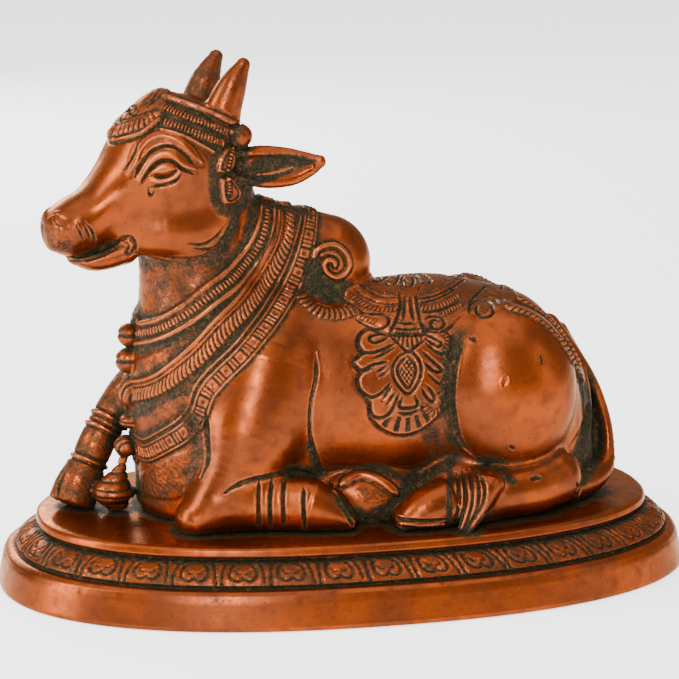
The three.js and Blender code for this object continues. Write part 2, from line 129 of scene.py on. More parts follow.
def refined(table, steps=4):
    """A smooth run of sections through the given ones."""
    s = np.array(table, float)
    s = np.vstack([2 * s[0] - s[1], s, 2 * s[-1] - s[-2]])
    t = np.linspace(0, 1, steps, endpoint=False)[:, None]
    rows = []
    for i in range(1, len(s) - 2):
        a, b, c, d = s[i - 1:i + 3]
        rows.append(0.5 * (2 * b + (c - a) * t + (2 * a - 5 * b + 4 * c - d) * t ** 2
                           + (3 * b - a - 3 * c + d) * t ** 3))
    rows.append(s[-2:-1])
    return np.vstack(rows)


THINNEST = 0.6
JOINT_DOME = 0.35


def oval_distance(rho, far, least):
    """Signed distance to an oval, from a point's place in shares of its half sizes and in millimetres."""
    rho = rho + 1e-6
    return np.where(rho > 0.02, far * (1 - 1 / rho), -least)


class Limb:
    """An oval tube through sections with a dome at each end. One that is sliced along x or z keeps
    its exact outline in each slice."""

    def __init__(self, table, domes=(1, 1), side=(0, 1, 0), power=2.0, taper=0.0, sliced="", head=False):
        s = refined(table)
        self.middle, self.half = s[:, :3], np.maximum(s[:, 3:], THINNEST)
        self.power, self.taper, self.sliced_along, self.head, self.domes = power, taper, sliced, head, domes
        run = np.diff(self.middle, axis=0)
        self.run = length_of(run)
        self.along = run / self.run[:, None]
        side = np.array(side, float)
        self.across = unit(side - self.along * (self.along @ side)[:, None])
        self.deep = np.cross(self.along, self.across)
        reach = self.half.max() + BOX_MARGIN
        self.low, self.high = self.middle.min(0) - reach, self.middle.max(0) + reach

    def oval(self, u, v, w):
        if self.power == 2:
            return np.sqrt(u * u + v * v + w * w)
        return np.sqrt((np.abs(u) ** self.power + np.abs(v) ** self.power) ** (2 / self.power) + w * w)

    def sliced(self, p):
        """Distance for a limb sliced along x, or along z."""
        axis, other = (0, 2) if self.sliced_along == "x" else (2, 0)
        order = np.argsort(self.middle[:, axis])
        xs = self.middle[order, axis]
        x = np.clip(p[:, axis], xs[0], xs[-1])
        a, b = np.interp(x, xs, self.half[order, 0]), np.interp(x, xs, self.half[order, 1])
        up = p[:, other] - np.interp(x, xs, self.middle[order, other])
        past = p[:, axis] - x
        v = up / b
        u = p[:, 1] / (a * (1 + self.taper * np.clip(v, -1, 1)))
        w = past / (np.minimum(a, b) * np.where(past < 0, self.domes[0], self.domes[1]))
        far = np.sqrt(p[:, 1] ** 2 + up ** 2 + past ** 2)
        return oval_distance(self.oval(u, v, w), far, np.minimum(a, b))

    def distance(self, p):
        if self.sliced_along:
            return self.sliced(p)
        best, last = np.full(len(p), FAR), len(self.run) - 1
        for i, run in enumerate(self.run):
            x, y, z = (p[:, k] - self.middle[i, k] for k in range(3))
            axes = self.along[i], self.across[i], self.deep[i]
            forward, side, up = (x * e + y * f + z * g for e, f, g in axes)
            t = np.clip(forward / run, 0, 1)
            past = (forward / run - t) * run
            a, b = (first + t * (second - first) for first, second in zip(self.half[i], self.half[i + 1]))
            start = self.domes[0] if i == 0 else JOINT_DOME
            end = self.domes[1] if i == last else JOINT_DOME
            w = past / (np.minimum(a, b) * np.where(past < 0, start, end))
            far = np.sqrt(side * side + up * up + past * past)
            best = np.minimum(best, oval_distance(self.oval(side / a, up / b, w), far, np.minimum(a, b)))
        return best


class Egg:
    """A sphere stretched to three half sizes."""

    def __init__(self, middle, half, head=False):
        self.middle, self.half, self.head = np.array(middle, float), np.array(half, float), head
        self.low, self.high = self.middle - self.half - BOX_MARGIN, self.middle + self.half + BOX_MARGIN

    def distance(self, p):
        q = p - self.middle
        return oval_distance(length_of(q / self.half), length_of(q), self.half.min())


def mirrored(table):
    return [(x, -y, z, a, b) for x, y, z, a, b in table]


TORSO = points_of("""
    -48,0,45.5,30,38 -20,0,44.5,36.5,38.5 8,0,42,40.5,38 32,0,43,40,38 56,0,39.5,39,37 70,0,36.5,35,35.5
    80,0,32,28.5,29.5 89,0,29,17,19""")
BELLY = points_of("-50,0,7,31,12 0,0,8,37,13 50,0,8,38,13 80,0,7,29,12")
NECK = points_of("""
    -52,0,127,15,16 -55,0,110,17,18.5 -54.5,0,91,21,20.5 -46.5,0,71,28,28.5 -41,0,50,34,34.5
    -40,0,22,35.5,37 -42,0,5,33,35.5""")
HUMP = points_of("-40,0,101,13,14 -23,0,92,16,18.5 -7.5,0,88.5,17,17.5")
SKULL = points_of("""
    -109,0,106.5,9.5,7.4 -104,0,107.2,12,10 -97,0,109.4,12.3,11.6 -90,0,114.6,13,15.2 -84,0,120,15.4,20
    -77,0,122.9,18.4,24 -67,0,124.8,21.2,26.4 -56,0,125.5,21,26 -46,0,125.5,16.5,20""")
JAW = points_of("-100.5,0,96.3,6.4,2.8 -94,0,95.4,9,4.4 -84,0,98,11,5.6")
CHEEK = points_of("-79,-9.2,104,6,6.4 -71,-11.6,104.4,7.4,7.6 -61,-12.6,104.6,7.8,8 -52,-12.8,108,7,8")
UNDER_JAW = points_of("""
    -84,-9,90,3,3 -76,-18.4,90.6,4,3.4 -66,-24.4,90.8,4.8,3.6 -55,-26.4,91.6,4.8,3.4 -46.5,-25,97,4.6,3.4
    -42.5,-21.5,106,3.6,3 -41,-19.5,114,2,2""")
HORN = points_of("""
    -49.5,-10.5,141,6.8,7 -48,-11.2,148,6.2,6.4 -44.8,-12,156,4.8,5 -41.2,-12.4,162.6,2.6,2.6""")
CREST = points_of("-82,0,138.5,6,3 -75,0,143.6,7.4,4.4 -67.5,0,148.6,7,5 -63,0,147,6,4")
EAR = points_of("""
    -46,-14,128,5.5,4.2 -38,-20,127.3,7.6,3.8 -30,-26.5,127.6,6.9,3.4 -24.5,-31,128.8,4.6,2.6
    -20.8,-34,130.2,2.2,1.6""")
EAR_HOLLOW = points_of("""
    -45,-18.5,127.6,3.6,3.2 -38,-24,127,5,3.4 -30.5,-29.5,127.4,4.4,3 -25,-33.2,128.4,2,2""")
SHOULDER = points_of("""
    -27,-15,69,12,14 -33,-24,55,15.5,18 -39,-29,37,15,19 -45.5,-31.5,22,13,14.5 -53,-33,11.5,10.5,11""")
FOREARM = points_of("""
    -61.5,-33.5,5,9,7.5 -54,-34.2,8.5,9.6,10 -45,-35.5,10,9.6,10.5 -33,-38,9.5,8.6,10
    -24,-40,9.2,8.2,9.8""")
FORE_HOOF = points_of("-22,-40,8.8,9,10 -14,-41,6,8.6,7.5 -8,-41.5,2.5,7.5,4")
PLANTED_LEG = points_of("""
    -44,29,39,13,14 -59,25.5,43,9.6,10.4 -71,21,43.5,7.6,8 -80,17,37,6.8,6.9 -89.5,12,23.5,6.4,6.7
    -94.3,9.5,14,6.3,6.7""")
PLANTED_HOOF = points_of("-94.8,9,13.5,6.8,7.2 -98,7,8,7.6,8.3 -100.5,5.5,2.5,7.8,8.6")
HIND_SHANK = points_of("70,-34,12,10.5,10.5 60,-38.5,10,9.5,10 47,-42,9,8.3,9.4 32,-45,8,7.2,8.4")
HIND_HOOF = points_of("27,-45.5,8,8.4,9 18,-46.5,6.2,8.4,7.4 10,-47,3,6.6,4")
TAIL = points_of("""
    78,0,61,6,4.2 88.6,0,48,5.6,3 95.8,0,36,5.4,2.6 99.8,-2,22,5.4,2.7 98.4,-7,10,5.4,3.4 90,-17,5.5,5.4,5.2
    78,-26,5,6,6""")
TAIL_WEB = points_of("82,2,58,3,4 89,2,45,3,4 92.5,2,34,3,4 95.5,0,20,3,4.5 94,-4,8,3,5")
TUFT = points_of("44.5,-40,14.5,7.6,5.4 40.5,-46,13,8.6,6 36,-51.5,7,6,4.6 32,-55,1,3,2.8")
# What hangs down the chest, from the collar's knob to the bell on the slab: middles and half sizes.
CHEST_STRING = [((-79.5, -1, 65.2), (4.2, 4.8, 4.3)), ((-80, -1, 55.8), (4.6, 5.2, 4.7)),
                ((-79, -2, 44.3), (4.8, 5.4, 6)), ((-79.5, -1, 33.4), (4, 5, 2.7)),
                ((-81.2, -1, 24.2), (4.4, 5, 4))]
BELL = points_of("""
    -82,-1,21,1.5,1.6 -82.8,-1,17,1.7,1.8 -83.8,-1,14,3,3.2 -84.8,-1,11,5,5.2 -85.6,-1,8,7.4,7.8
    -85.6,-1,6,7,7.4 -85,-1,3.6,4.8,5 -84.6,-1,1,3.8,3.8""")
TAIL_PIT = points_of("90,-18,33,5,3 88,-25,24,8.5,5 86.4,-30,16,11,6.5")
BOSS = ((-44.5, -17.5, 138.3), (4.2, 4.2, 4.2))


def pair(table, fillet, **kind):
    """A limb on the near side and its mirror on the far side."""
    return [(Limb(table, **kind), fillet), (Limb(mirrored(table), **kind), fillet)]


planted_leg = Limb(PLANTED_LEG)
planted_hoof = Limb(PLANTED_HOOF, domes=(0.4, 0.2))
string_bell = Limb(BELL, domes=(0.6, 0.2))
STRING_EGGS = [Egg(middle, half) for middle, half in CHEST_STRING]
HORNS = pair(HORN, 3, head=True)
# An ear's first half size stands upright.
UPRIGHT = {"side": (0, 0, 1), "head": True}
HAUNCH_HALF = (28.5, 25, 32.5)
# Each form and how softly it runs into the ones before it, in millimetres of fillet.
FORMS = [
    (Limb(TORSO, domes=(1, 0.2), power=2.15, sliced="x"), 1),
    (Limb(BELLY, domes=(0.6, 0.6)), 5),
    (Limb(NECK, domes=(0.4, 0.2), sliced="z"), 12),
    (Limb(HUMP), 8),
    (Limb(SHOULDER), 4),
    (Limb(mirrored(SHOULDER[:3])), 5),
    (Egg((84, -4, 14), (10, 14, 13)), 5),
    (Egg((52, -25, 43), HAUNCH_HALF), 3.5),
    (Egg((52, 25, 43), HAUNCH_HALF), 3.5),
    (Limb(SKULL, domes=(0.4, 0.6), taper=0.12, sliced="x", head=True), 8),
    *pair(CHEEK, 8, head=True),
    (Limb(JAW, head=True), 2.4),
    *HORNS,
    *pair(EAR, 3, **UPRIGHT),
    (Limb(CREST, head=True), 3),
    (Limb(FOREARM), 3),
    (Limb(FORE_HOOF, domes=(0.3, 0.6)), 1.5),
    (planted_leg, 5),
    (planted_hoof, 1.5),
    *pair(HIND_SHANK, 3),
    *pair(HIND_HOOF, 1.5, domes=(0.4, 0.6)),
    (Limb(TAIL_WEB), 1.5),
    (Limb(TAIL), 1.5),
    (Limb(TUFT), 1.5),
    (Egg((3, -30, 6), (22, 10.5, 13)), 3),
    (Egg((38, -33, 8), (18, 12, 15)), 3),
    (Egg((40, -43, 7), (8, 7.5, 8)), 3),
    (string_bell, 1.2),
    *[(egg, 1.2) for egg in STRING_EGGS],
    (Egg(*BOSS, head=True), 1),
]
# What is hollowed out of them: the ears, the soft parts under the jaw and the pit beside the tail.
HOLLOWS = [
    *pair(EAR_HOLLOW, 1.2, **UPRIGHT),
    *pair(UNDER_JAW, 3, head=True),
    (Limb(TAIL_PIT, domes=(1, 0.5)), 1.5),
]


def bare_bull(points):
    """Signed distance to the undressed bull, below 0 inside."""
    head_points = to_head(points)
    field = np.full(len(points), FAR)
    for forms, sign in ((FORMS, 1), (HOLLOWS, -1)):
        for form, fillet in forms:
            own = head_points if form.head else points
            near = ((own > form.low) & (own < form.high)).all(1)
            field[near] = sign * smooth_union(sign * field[near], form.distance(own[near]), fillet)
    return field


# Skinning: a mesh of squares over the zero of a field

COARSE = 4
BUSY_SHARE = 1.3


def skin_of(field, low, high, step):
    """Points and squares of the field's skin between two corners."""
    low, high = np.array(low, float), np.array(high, float)
    block = step * COARSE
    blocks = np.ceil((high - low) / block).astype(int)
    axes = [low[k] + block * (np.arange(blocks[k]) + 0.5) for k in range(3)]
    middles = np.stack(np.meshgrid(*axes, indexing="ij"), -1).reshape(-1, 3)
    rough = field(middles).reshape(blocks)
    busy = np.abs(rough) < block * BUSY_SHARE
    grid = np.where(np.kron(rough < 0, np.ones((COARSE,) * 3)) > 0, -FAR, FAR)
    fine = np.argwhere(np.kron(busy, np.ones((COARSE,) * 3, bool)))
    grid[tuple(fine.T)] = field(low + step * (fine + 0.5))
    inside = grid < 0
    n = np.array(grid.shape) - 1
    count = sum(inside[i:n[0] + i, j:n[1] + j, k:n[2] + k].astype(np.int8)
                for i, j, k in np.ndindex(2, 2, 2))
    cells = np.argwhere((count > 0) & (count < 8))
    number = np.full(n, -1)
    number[tuple(cells.T)] = np.arange(len(cells))
    total, hits = np.zeros((len(cells), 3)), np.zeros(len(cells))
    for axis in range(3):
        for i, j in np.ndindex(2, 2):
            start = np.insert([i, j], axis, 0)
            end = np.insert([i, j], axis, 1)
            a, b = grid[tuple((cells + start).T)], grid[tuple((cells + end).T)]
            crossed = (a < 0) != (b < 0)
            share = np.where(crossed, a / np.where(crossed, a - b, 1), 0)
            total += crossed[:, None] * (start + share[:, None] * (end - start))
            hits += crossed
    points = low + step * (cells + total / hits[:, None] + 0.5)
    squares = []
    for axis in range(3):
        u, v = [k for k in range(3) if k != axis]
        if axis == 1:
            u, v = v, u
        here = [slice(1, n[k]) for k in range(3)]
        here[axis] = slice(0, n[axis])
        there = list(here)
        there[axis] = slice(1, n[axis] + 1)
        change = inside[tuple(here)].astype(int) - inside[tuple(there)]
        for sign in (1, -1):
            at = np.argwhere(change == sign) + [0 if k == axis else 1 for k in range(3)]
            ring = []
            for du, dv in ((1, 1), (0, 1), (0, 0), (1, 0)):
                shift = np.zeros(3, int)
                shift[u], shift[v] = du, dv
                ring.append(number[tuple((at - shift).T)])
            ring = np.stack(ring, 1)
            squares.append(ring if sign > 0 else ring[:, ::-1])
    return points, np.vstack(squares)


def columns(*values):
    return np.stack(values, 1)


def triangles_of(squares):
    return np.vstack([squares[:, [0, 1, 2]], squares[:, [0, 2, 3]]])


def averager(count, triangles):
    """A function that averages a value over each point's neighbours."""
    ends = np.unique(np.sort(triangles[:, [[0, 1], [1, 2], [2, 0]]].reshape(-1, 2), 1), axis=0)
    a, b = np.concatenate([ends[:, 0], ends[:, 1]]), np.concatenate([ends[:, 1], ends[:, 0]])
    degree = np.maximum(np.bincount(a, minlength=count), 1)

    def average(value):
        return np.bincount(a, value[b], count) / degree

    return average


def normals_of(points, triangles):
    a, b, c = points[triangles[:, 0]], points[triangles[:, 1]], points[triangles[:, 2]]
    face = np.cross(b - a, c - a)
    out = np.stack([sum(np.bincount(triangles[:, k], face[:, axis], len(points)) for k in range(3))
                    for axis in range(3)], 1)
    return unit(out)


LONGEST_SHIFT = 0.4


def settled(field, points, triangles, rounds=2):
    """Points drawn along the mesh's own normals onto the field's zero."""
    for _ in range(rounds):
        shift = np.clip(field(points), -LONGEST_SHIFT, LONGEST_SHIFT)
        points = points - normals_of(points, triangles) * shift[:, None]
    return points


# Camera, floor and lights

AIM = Vector((0, 0, 0.08))
CAMERA_TURN = math.radians(-13)
CAMERA_RISE = math.radians(13)
CAMERA_DISTANCE = 1.1
CAMERA_SHIFT = (-0.0062, 0.0205)
SENSOR_WIDTH = 36
PHOTO_WIDTH = 679
FOCAL_PIXELS = 3003
FLOOR_HALF = 3.0
FLOOR_HEIGHT = -0.0003


def towards(turn, rise):
    return Vector((math.sin(turn) * math.cos(rise), -math.cos(turn) * math.cos(rise), math.sin(rise)))


def aimed(name, data, turn, rise, distance):
    """A camera or lamp that looks at the figure's middle."""
    thing = bpy.data.objects.new(name, data)
    thing.location = AIM + distance * towards(turn, rise)
    thing.rotation_euler = (AIM - thing.location).to_track_quat("-Z", "Y").to_euler()
    bpy.context.scene.collection.objects.link(thing)
    return thing


def place_camera():
    data = bpy.data.cameras.new("camera")
    data.sensor_width = SENSOR_WIDTH
    data.lens = SENSOR_WIDTH * FOCAL_PIXELS / PHOTO_WIDTH
    data.shift_x, data.shift_y = CAMERA_SHIFT
    bpy.context.scene.camera = aimed("camera", data, CAMERA_TURN, CAMERA_RISE, CAMERA_DISTANCE)


def soft_light(name, turn, rise, distance, size, watts):
    data = bpy.data.lights.new(name, "AREA")
    data.shape = "RECTANGLE"
    data.size, data.size_y = size
    data.energy = watts
    aimed(name, data, math.radians(turn), math.radians(rise), distance)


def set_world():
    world = bpy.data.worlds.new("studio")
    bpy.context.scene.world = world
    world.use_nodes = True
    back = world.node_tree.nodes["Background"]
    back.inputs["Color"].default_value = (1.0, 0.99, 0.97, 1)
    back.inputs["Strength"].default_value = 0.64


def make_floor(material):
    mesh = bpy.data.meshes.new("studio_floor")
    corners = [(x * FLOOR_HALF, y * FLOOR_HALF, 0) for x, y in ((-1, -1), (1, -1), (1, 1), (-1, 1))]
    mesh.from_pydata(corners, [], [(0, 1, 2, 3)])
    floor = bpy.data.objects.new("studio_floor", mesh)
    floor.location.z = FLOOR_HEIGHT
    mesh.materials.append(material)
    bpy.context.scene.collection.objects.link(floor)


# Materials

def linear(code):
    """A linear colour from an sRGB hex code."""
    parts = [int(code[i:i + 2], 16) / 255 for i in (1, 3, 5)]
    return tuple(p / 12.92 if p <= 0.04045 else ((p + 0.055) / 1.055) ** 2.4 for p in parts) + (1.0,)


# Nodes: Blender's name for the kind, its settings, the sockets that are fed in turn, and the output.
NODES = {
    "place": ("ShaderNodeTexCoord", {}, (), "Object"),
    "recess": ("ShaderNodeAttribute", {"attribute_name": "recess"}, (), "Fac"),
    "rubbed": ("ShaderNodeAttribute", {"attribute_name": "rubbed"}, (), "Fac"),
    "grain": ("ShaderNodeTexNoise", {"noise_dimensions": "4D"},
              ("Vector", "W", "Scale", "Detail", "Roughness"), "Fac"),
    "span": ("ShaderNodeMapRange", {"interpolation_type": "SMOOTHSTEP"},
             ("Value", "From Min", "From Max", "To Min", "To Max"), "Result"),
    "blend": ("ShaderNodeMix", {"data_type": "RGBA"}, (0, 6, 7), 2),
    "between": ("ShaderNodeMix", {"data_type": "FLOAT"}, (0, 2, 3), 0),
    "relief": ("ShaderNodeBump", {}, ("Strength", "Distance", "Height"), "Normal"),
    **{name: ("ShaderNodeMath", {"operation": name.upper()}, (0, 1), "Value")
       for name in ("add", "subtract", "multiply", "maximum")},
}


def add(tree, kind, *feeds):
    """Adds a node, feeds its sockets with values or with other nodes' outputs, and gives its output."""
    name, settings, sockets, output = NODES[kind]
    node = tree.nodes.new(name)
    for key, value in settings.items():
        setattr(node, key, value)
    for socket, feed in zip(sockets, feeds):
        if isinstance(feed, bpy.types.NodeSocket):
            tree.links.new(feed, node.inputs[socket])
        else:
            node.inputs[socket].default_value = feed
    return node.outputs[output]


def new_material(name):
    material = bpy.data.materials.new(name)
    material.use_nodes = True
    return material, material.node_tree, material.node_tree.nodes["Principled BSDF"]


# Soft random patterns in the metal: their size in millimetres, their detail and their roughness.
GRAINS = {
    "clouds": (24, 2, 0.55), "blotches": (5, 4, 0.55), "fine": (0.9, 4, 0.7), "sand": (0.5, 2, 0.55),
    "pits": (1.6, 1, 0.55), "dents": (7, 2, 0.55), "bare": (2.2, 4, 0.7),
}


def lacquered_cast_brass():
    """Sand-cast brass under a copper-brown lacquer: clouded orange and brown where it is smooth, rubbed
    pinkish on the ridges, with a matt green-black patina of fine grains in the carving, whose colours also
    paint shade where the bull's parts close in, under the jaw and round the bull."""
    material, tree, shader = new_material("lacquered_cast_brass")
    node = partial(add, tree)
    place, recess, rubbed = (node(kind) for kind in ("place", "recess", "rubbed"))
    clouds, blotches, fine, sand, pits, dents, bare = (
        node("grain", place, seed, 1000 / size, detail, roughness)
        for seed, (size, detail, roughness) in enumerate(GRAINS.values(), 1))
    # The lacquer pooled unevenly: wide orange and brown clouds, and small brown blotches.
    copper = node("blend", node("span", clouds, 0.35, 0.65), linear("#682D0E"), linear("#863706"))
    copper = node("blend", node("span", blotches, 0.45, 0.72, 0, 0.6), copper, linear("#4A1F0E"))
    copper = node("blend", node("span", fine, 0.5, 0.8, 0, 0.35), copper, linear("#37160A"))
    copper = node("blend", node("multiply", rubbed, 0.6), copper, linear("#9A5530"))
    # The patina, whose colours also stand for the painted shade carried in the same attribute, has its edge
    # broken by its grains, and specks of it sit in small casting pits.
    broken = node("add", recess, node("span", fine, 0.3, 0.7, -0.28, 0.2))
    broken = node("add", broken, node("span", blotches, 0.3, 0.7, -0.16, 0.14))
    brown = node("span", broken, 0.15, 0.55)
    green = node("span", broken, 0.42, 0.82)
    pits = node("span", pits, 0.74, 0.8)
    patina = node("blend", node("span", sand, 0.4, 0.62), linear("#0B0B07"), linear("#2B291A"))
    patina = node("blend", node("span", bare, 0.52, 0.7, 0, 0.8), patina, linear("#553B22"))
    colour = node("blend", node("multiply", brown, 0.8), copper, linear("#3C2415"))
    colour = node("blend", green, colour, patina)
    colour = node("blend", node("multiply", pits, 0.8), colour, linear("#1E1710"))
    matt = node("maximum", node("maximum", green, pits), node("multiply", brown, 0.5))
    gloss = node("span", blotches, 0.3, 0.7, 0.24, 0.38)
    # Sand-cast grain a few hundredths of a millimetre deep, stronger in the patina, and shallow dents.
    height = node("multiply", fine, node("span", matt, 0, 1, 0.3, 1.6))
    height = node("add", height, node("multiply", dents, 2.2))
    height = node("subtract", height, pits)
    for socket, output in (("Base Color", colour), ("Roughness", node("between", matt, gloss, 0.7)),
                           ("Metallic", node("span", matt, 0, 1, 0.88, 0.25)),
                           ("Coat Weight", node("span", matt, 0, 1, 0.12, 0)),
                           ("Normal", node("relief", 0.55, 0.00012, height))):
        tree.links.new(output, shader.inputs[socket])
    shader.inputs["Coat Roughness"].default_value = 0.3
    shader.inputs["Specular IOR Level"].default_value = 0.2
    shader.inputs["Specular Tint"].default_value = linear("#E0C4A8")
    return material


def pale_floor():
    """A matt white acrylic table, lit faintly from below to stay as pale as the photo's ground."""
    material, tree, shader = new_material("lit_white_acrylic")
    shader.inputs["Base Color"].default_value = linear("#FAFAFA")
    shader.inputs["Roughness"].default_value = 0.9
    shader.inputs["Emission Color"].default_value = linear("#FFFFFF")
    shader.inputs["Emission Strength"].default_value = 1.4
    return material


# Pieces

def make_piece(name, points, triangles, recess, rubbed, material, normals=None):
    """A closed piece of the casting from points in millimetres above the slab."""
    mesh = bpy.data.meshes.new(name)
    mesh.vertices.add(len(points))
    placed = (points + [0, 0, PLINTH_TOP]) * MM
    mesh.vertices.foreach_set("co", placed.astype(np.float32).ravel())
    mesh.loops.add(3 * len(triangles))
    mesh.loops.foreach_set("vertex_index", triangles.astype(np.int32).ravel())
    mesh.polygons.add(len(triangles))
    mesh.polygons.foreach_set("loop_start", np.arange(0, 3 * len(triangles), 3, dtype=np.int32))
    mesh.update(calc_edges=True)
    mesh.validate()
    mesh.polygons.foreach_set("use_smooth", np.ones(len(mesh.polygons), bool))
    for wear, value in (("recess", recess), ("rubbed", rubbed)):
        attribute = mesh.attributes.new(wear, "FLOAT", "POINT")
        attribute.data.foreach_set("value", np.clip(value, 0, 1).astype(np.float32))
    if normals is not None:
        mesh.normals_split_custom_set_from_vertices(normals.tolist())
    mesh.materials.append(material)
    piece = bpy.data.objects.new(name, mesh)
    bpy.context.scene.collection.objects.link(piece)
    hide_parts("nandi_and_plinth")
    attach(piece, "root")


# Chasing: a line is drawn in millimetres on a plane that faces the near side from the figure's left
# front, thrown onto the bare skin from the eye's place, and repeated in mirror on the far side

EYE_DISTANCE = 1100.0
# A thrown line that jumps further than this over a fold isn't worked there.
LONGEST_STEP = 6
BOARD_MIDDLE = np.array([0, 0, 80.0 - PLINTH_TOP])
BOARD_OUT = np.array(towards(CAMERA_TURN, CAMERA_RISE))
BOARD_RIGHT = unit(np.cross([0, 0, 1.0], BOARD_OUT))
BOARD_UP = np.cross(BOARD_OUT, BOARD_RIGHT)
EYE_PLACE = BOARD_MIDDLE + EYE_DISTANCE * BOARD_OUT


def mirror(points, head):
    """The same places on the other side of the body, or of the turned head."""
    flip = np.array([1, -1, 1])
    return turned(to_head(points) * flip, HEAD_TURN) if head else points * flip


def curve(path, closed=False, steps=5):
    """A smooth run of points through a few drawn ones."""
    return refined(path + path[:1] if closed else path, 8 if len(path) == 2 else steps)


def flat(value, half, soft=0.35):
    """1 within half of the middle, falling to 0 over a soft edge."""
    return 1 - smoothstep(half - soft, half + soft, np.abs(value))


def waves(along, pitch):
    return 0.5 + 0.5 * np.cos(TURN * along / pitch)


def net(u, v, leans, edge, pitch):
    """Two sets of slanting lines that cross."""
    return np.maximum(*[smoothstep(*edge, waves(u + lean * v, pitch)) for lean in leans])


class Skin:
    """The bull's bare skin, what the chaser has raised and cut at each point, and its patina and painted
    shade.
    """

    def __init__(self, points, triangles, tree):
        self.points, self.tree = points, tree
        self.normals = normals_of(points, triangles)
        self.raised, self.cut, self.dark = np.zeros((3, len(points)))
        self.order = np.argsort(points[:, 0])
        self.ranked = points[self.order, 0]

    def near(self, low, high):
        """The points in a box."""
        first, last = np.searchsorted(self.ranked, [low[0], high[0]])
        index = self.order[first:last]
        p = self.points[index]
        return index[((p > low) & (p < high)).all(1)]

    def thrown(self, drawn, head=False):
        """A drawn line on the near skin, and its mirror on the far skin."""
        rays = [BOARD_MIDDLE + u * BOARD_RIGHT + v * BOARD_UP - EYE_PLACE for u, v in drawn]
        hits = [self.tree.ray_cast(Vector(EYE_PLACE), Vector(ray).normalized())[0] for ray in rays]
        near_line = np.array([hit for hit in hits if hit is not None])
        return [near_line, self.settle(mirror(near_line, head))]

    def settle(self, line):
        return np.array([self.tree.find_nearest(Vector(p))[0] for p in line])

    def follow(self, line, reach, shape):
        """Works a band along a line on the skin. From the distance across the line, along it and to its
        nearer end, the shape gives the height raised, the depth cut, the darkness and how far they hold."""
        index = self.near(line.min(0) - reach, line.max(0) + reach)
        p, normal = self.points[index], self.normals[index]
        runs = np.diff(line, axis=0)
        length = np.maximum(length_of(runs), 1e-6)
        ran = np.concatenate([[0], np.cumsum(length)])
        best, along, side = np.full(len(p), FAR), np.zeros(len(p)), np.zeros(len(p))
        for start, run, long, before in zip(line, runs, length, ran):
            if long > LONGEST_STEP:
                continue
            offset = p - start
            t = np.clip(offset @ run / long ** 2, 0, 1)
            away = offset - t[:, None] * run
            d = length_of(away)
            nearer = d < best
            best = np.where(nearer, d, best)
            along = np.where(nearer, before + t * long, along)
            side = np.where(nearer, np.einsum("ij,ij->i", away, np.cross(run, normal)), side)
        close = best < reach
        across, along = (np.sign(side) * best)[close], along[close]
        self.work(index[close], *shape(across, along, np.minimum(along, ran[-1] - along)))

    def work(self, index, raised, cut, dark, hold):
        self.raised[index] = np.maximum(self.raised[index], raised)
        self.cut[index] = np.maximum(self.cut[index], cut)
        self.dark[index] += hold * (dark - self.dark[index])

    def draw(self, lines, reach, shape, head=False, sides=2):
        """Works a band along each drawn line, on both sides of the figure or the near one only."""
        for line in lines:
            for place in self.thrown(curve(line), head)[:sides]:
                self.follow(place, reach, shape)

    def inside(self, outline, head=False, margin=3.0, sides=2):
        """For each side, or the near one only, the points in and near a drawn outline, how deep they lie
        inside it, how they face the eye and their place on the drawing."""
        border = curve(outline, closed=True, steps=3)
        for line, far in list(zip(self.thrown(border, head), (False, True)))[:sides]:
            index = self.near(line.min(0) - margin, line.max(0) + margin)
            p, normal = self.points[index], self.normals[index]
            if far:
                normal = mirror(p + normal, head) - mirror(p, head)
                p = mirror(p, head)
            from_eye = p - EYE_PLACE
            u, v = from_eye @ BOARD_RIGHT, from_eye @ BOARD_UP
            scale = EYE_DISTANCE / -(from_eye @ BOARD_OUT)
            u, v = u * scale, v * scale
            facing = smoothstep(0.05, 0.2, normal @ BOARD_OUT)
            d = path_distance(u, v, border)
            crossings = np.zeros(len(p), int)
            for (a, b), (c, e) in zip(border, border[1:]):
                if b != e:
                    crossings += ((b > v) != (e > v)) & (u < a + (v - b) * (c - a) / (e - b))
            yield index, np.where(crossings % 2 == 1, d, -d), facing, u, v

    def ground(self, outlines, edge, raised, cut, dark, **where):
        """Raises, cuts and darkens all that lies inside drawn outlines, with a soft edge."""
        for outline in outlines:
            for index, deep, facing, u, v in self.inside(outline, **where):
                hold = smoothstep(*edge, deep) * facing
                self.work(index, raised * hold, cut * hold, dark, hold)


def path_distance(u, v, path):
    """Distance in the drawing plane to a run of straight lines."""
    best = np.full(np.shape(u), FAR)
    for (a, b), (c, d) in zip(path, path[1:]):
        run = max((c - a) ** 2 + (d - b) ** 2, 1e-9)
        t = np.clip(((u - a) * (c - a) + (v - b) * (d - b)) / run, 0, 1)
        best = np.minimum(best, np.hypot(u - a - t * (c - a), v - b - t * (d - b)))
    return best


def groove(half=0.6, depth=0.5, dark=1.0, taper=2.5):
    """A cut with a brown edge and a low burr beside it, thin at its ends."""
    def shape(across, along, ends):
        here = half * (0.4 + 0.6 * smoothstep(0, taper, ends))
        line = bump(across, here)
        burr = 0.08 * bump(np.abs(across) - here - 0.3, 0.5)
        return burr, depth * line * here / half, dark, bump(across, here * 1.15)
    return shape


def ridge(half, height, edge=0.0, taper=0.5):
    """A round ridge, rubbed bright, with a dark contact line at each side where it has an edge."""
    def shape(across, along, ends):
        here = half * (0.5 + 0.5 * smoothstep(0, taper, ends))
        top = bump(across, here)
        beside = bump(np.abs(across) - here - 0.3, 0.8) * edge
        dark = np.where(np.abs(across) > here * 0.9, 1.0, 0.0)
        return height * top, 0.45 * beside, dark, np.maximum(bump(across, here * 1.05), beside)
    return shape


def patina_shade_band(half, dark):
    """A dark band along a line, with nothing cut: patina along a hollow, and painted shade under the jaw
    and in the hollow by the tail.
    """
    def shape(across, along, ends):
        hold = 1 - smoothstep(0.35 * half, half, np.hypot(across, np.clip(half - ends, 0, half) * 0.6))
        return 0, 0, dark, hold
    return shape


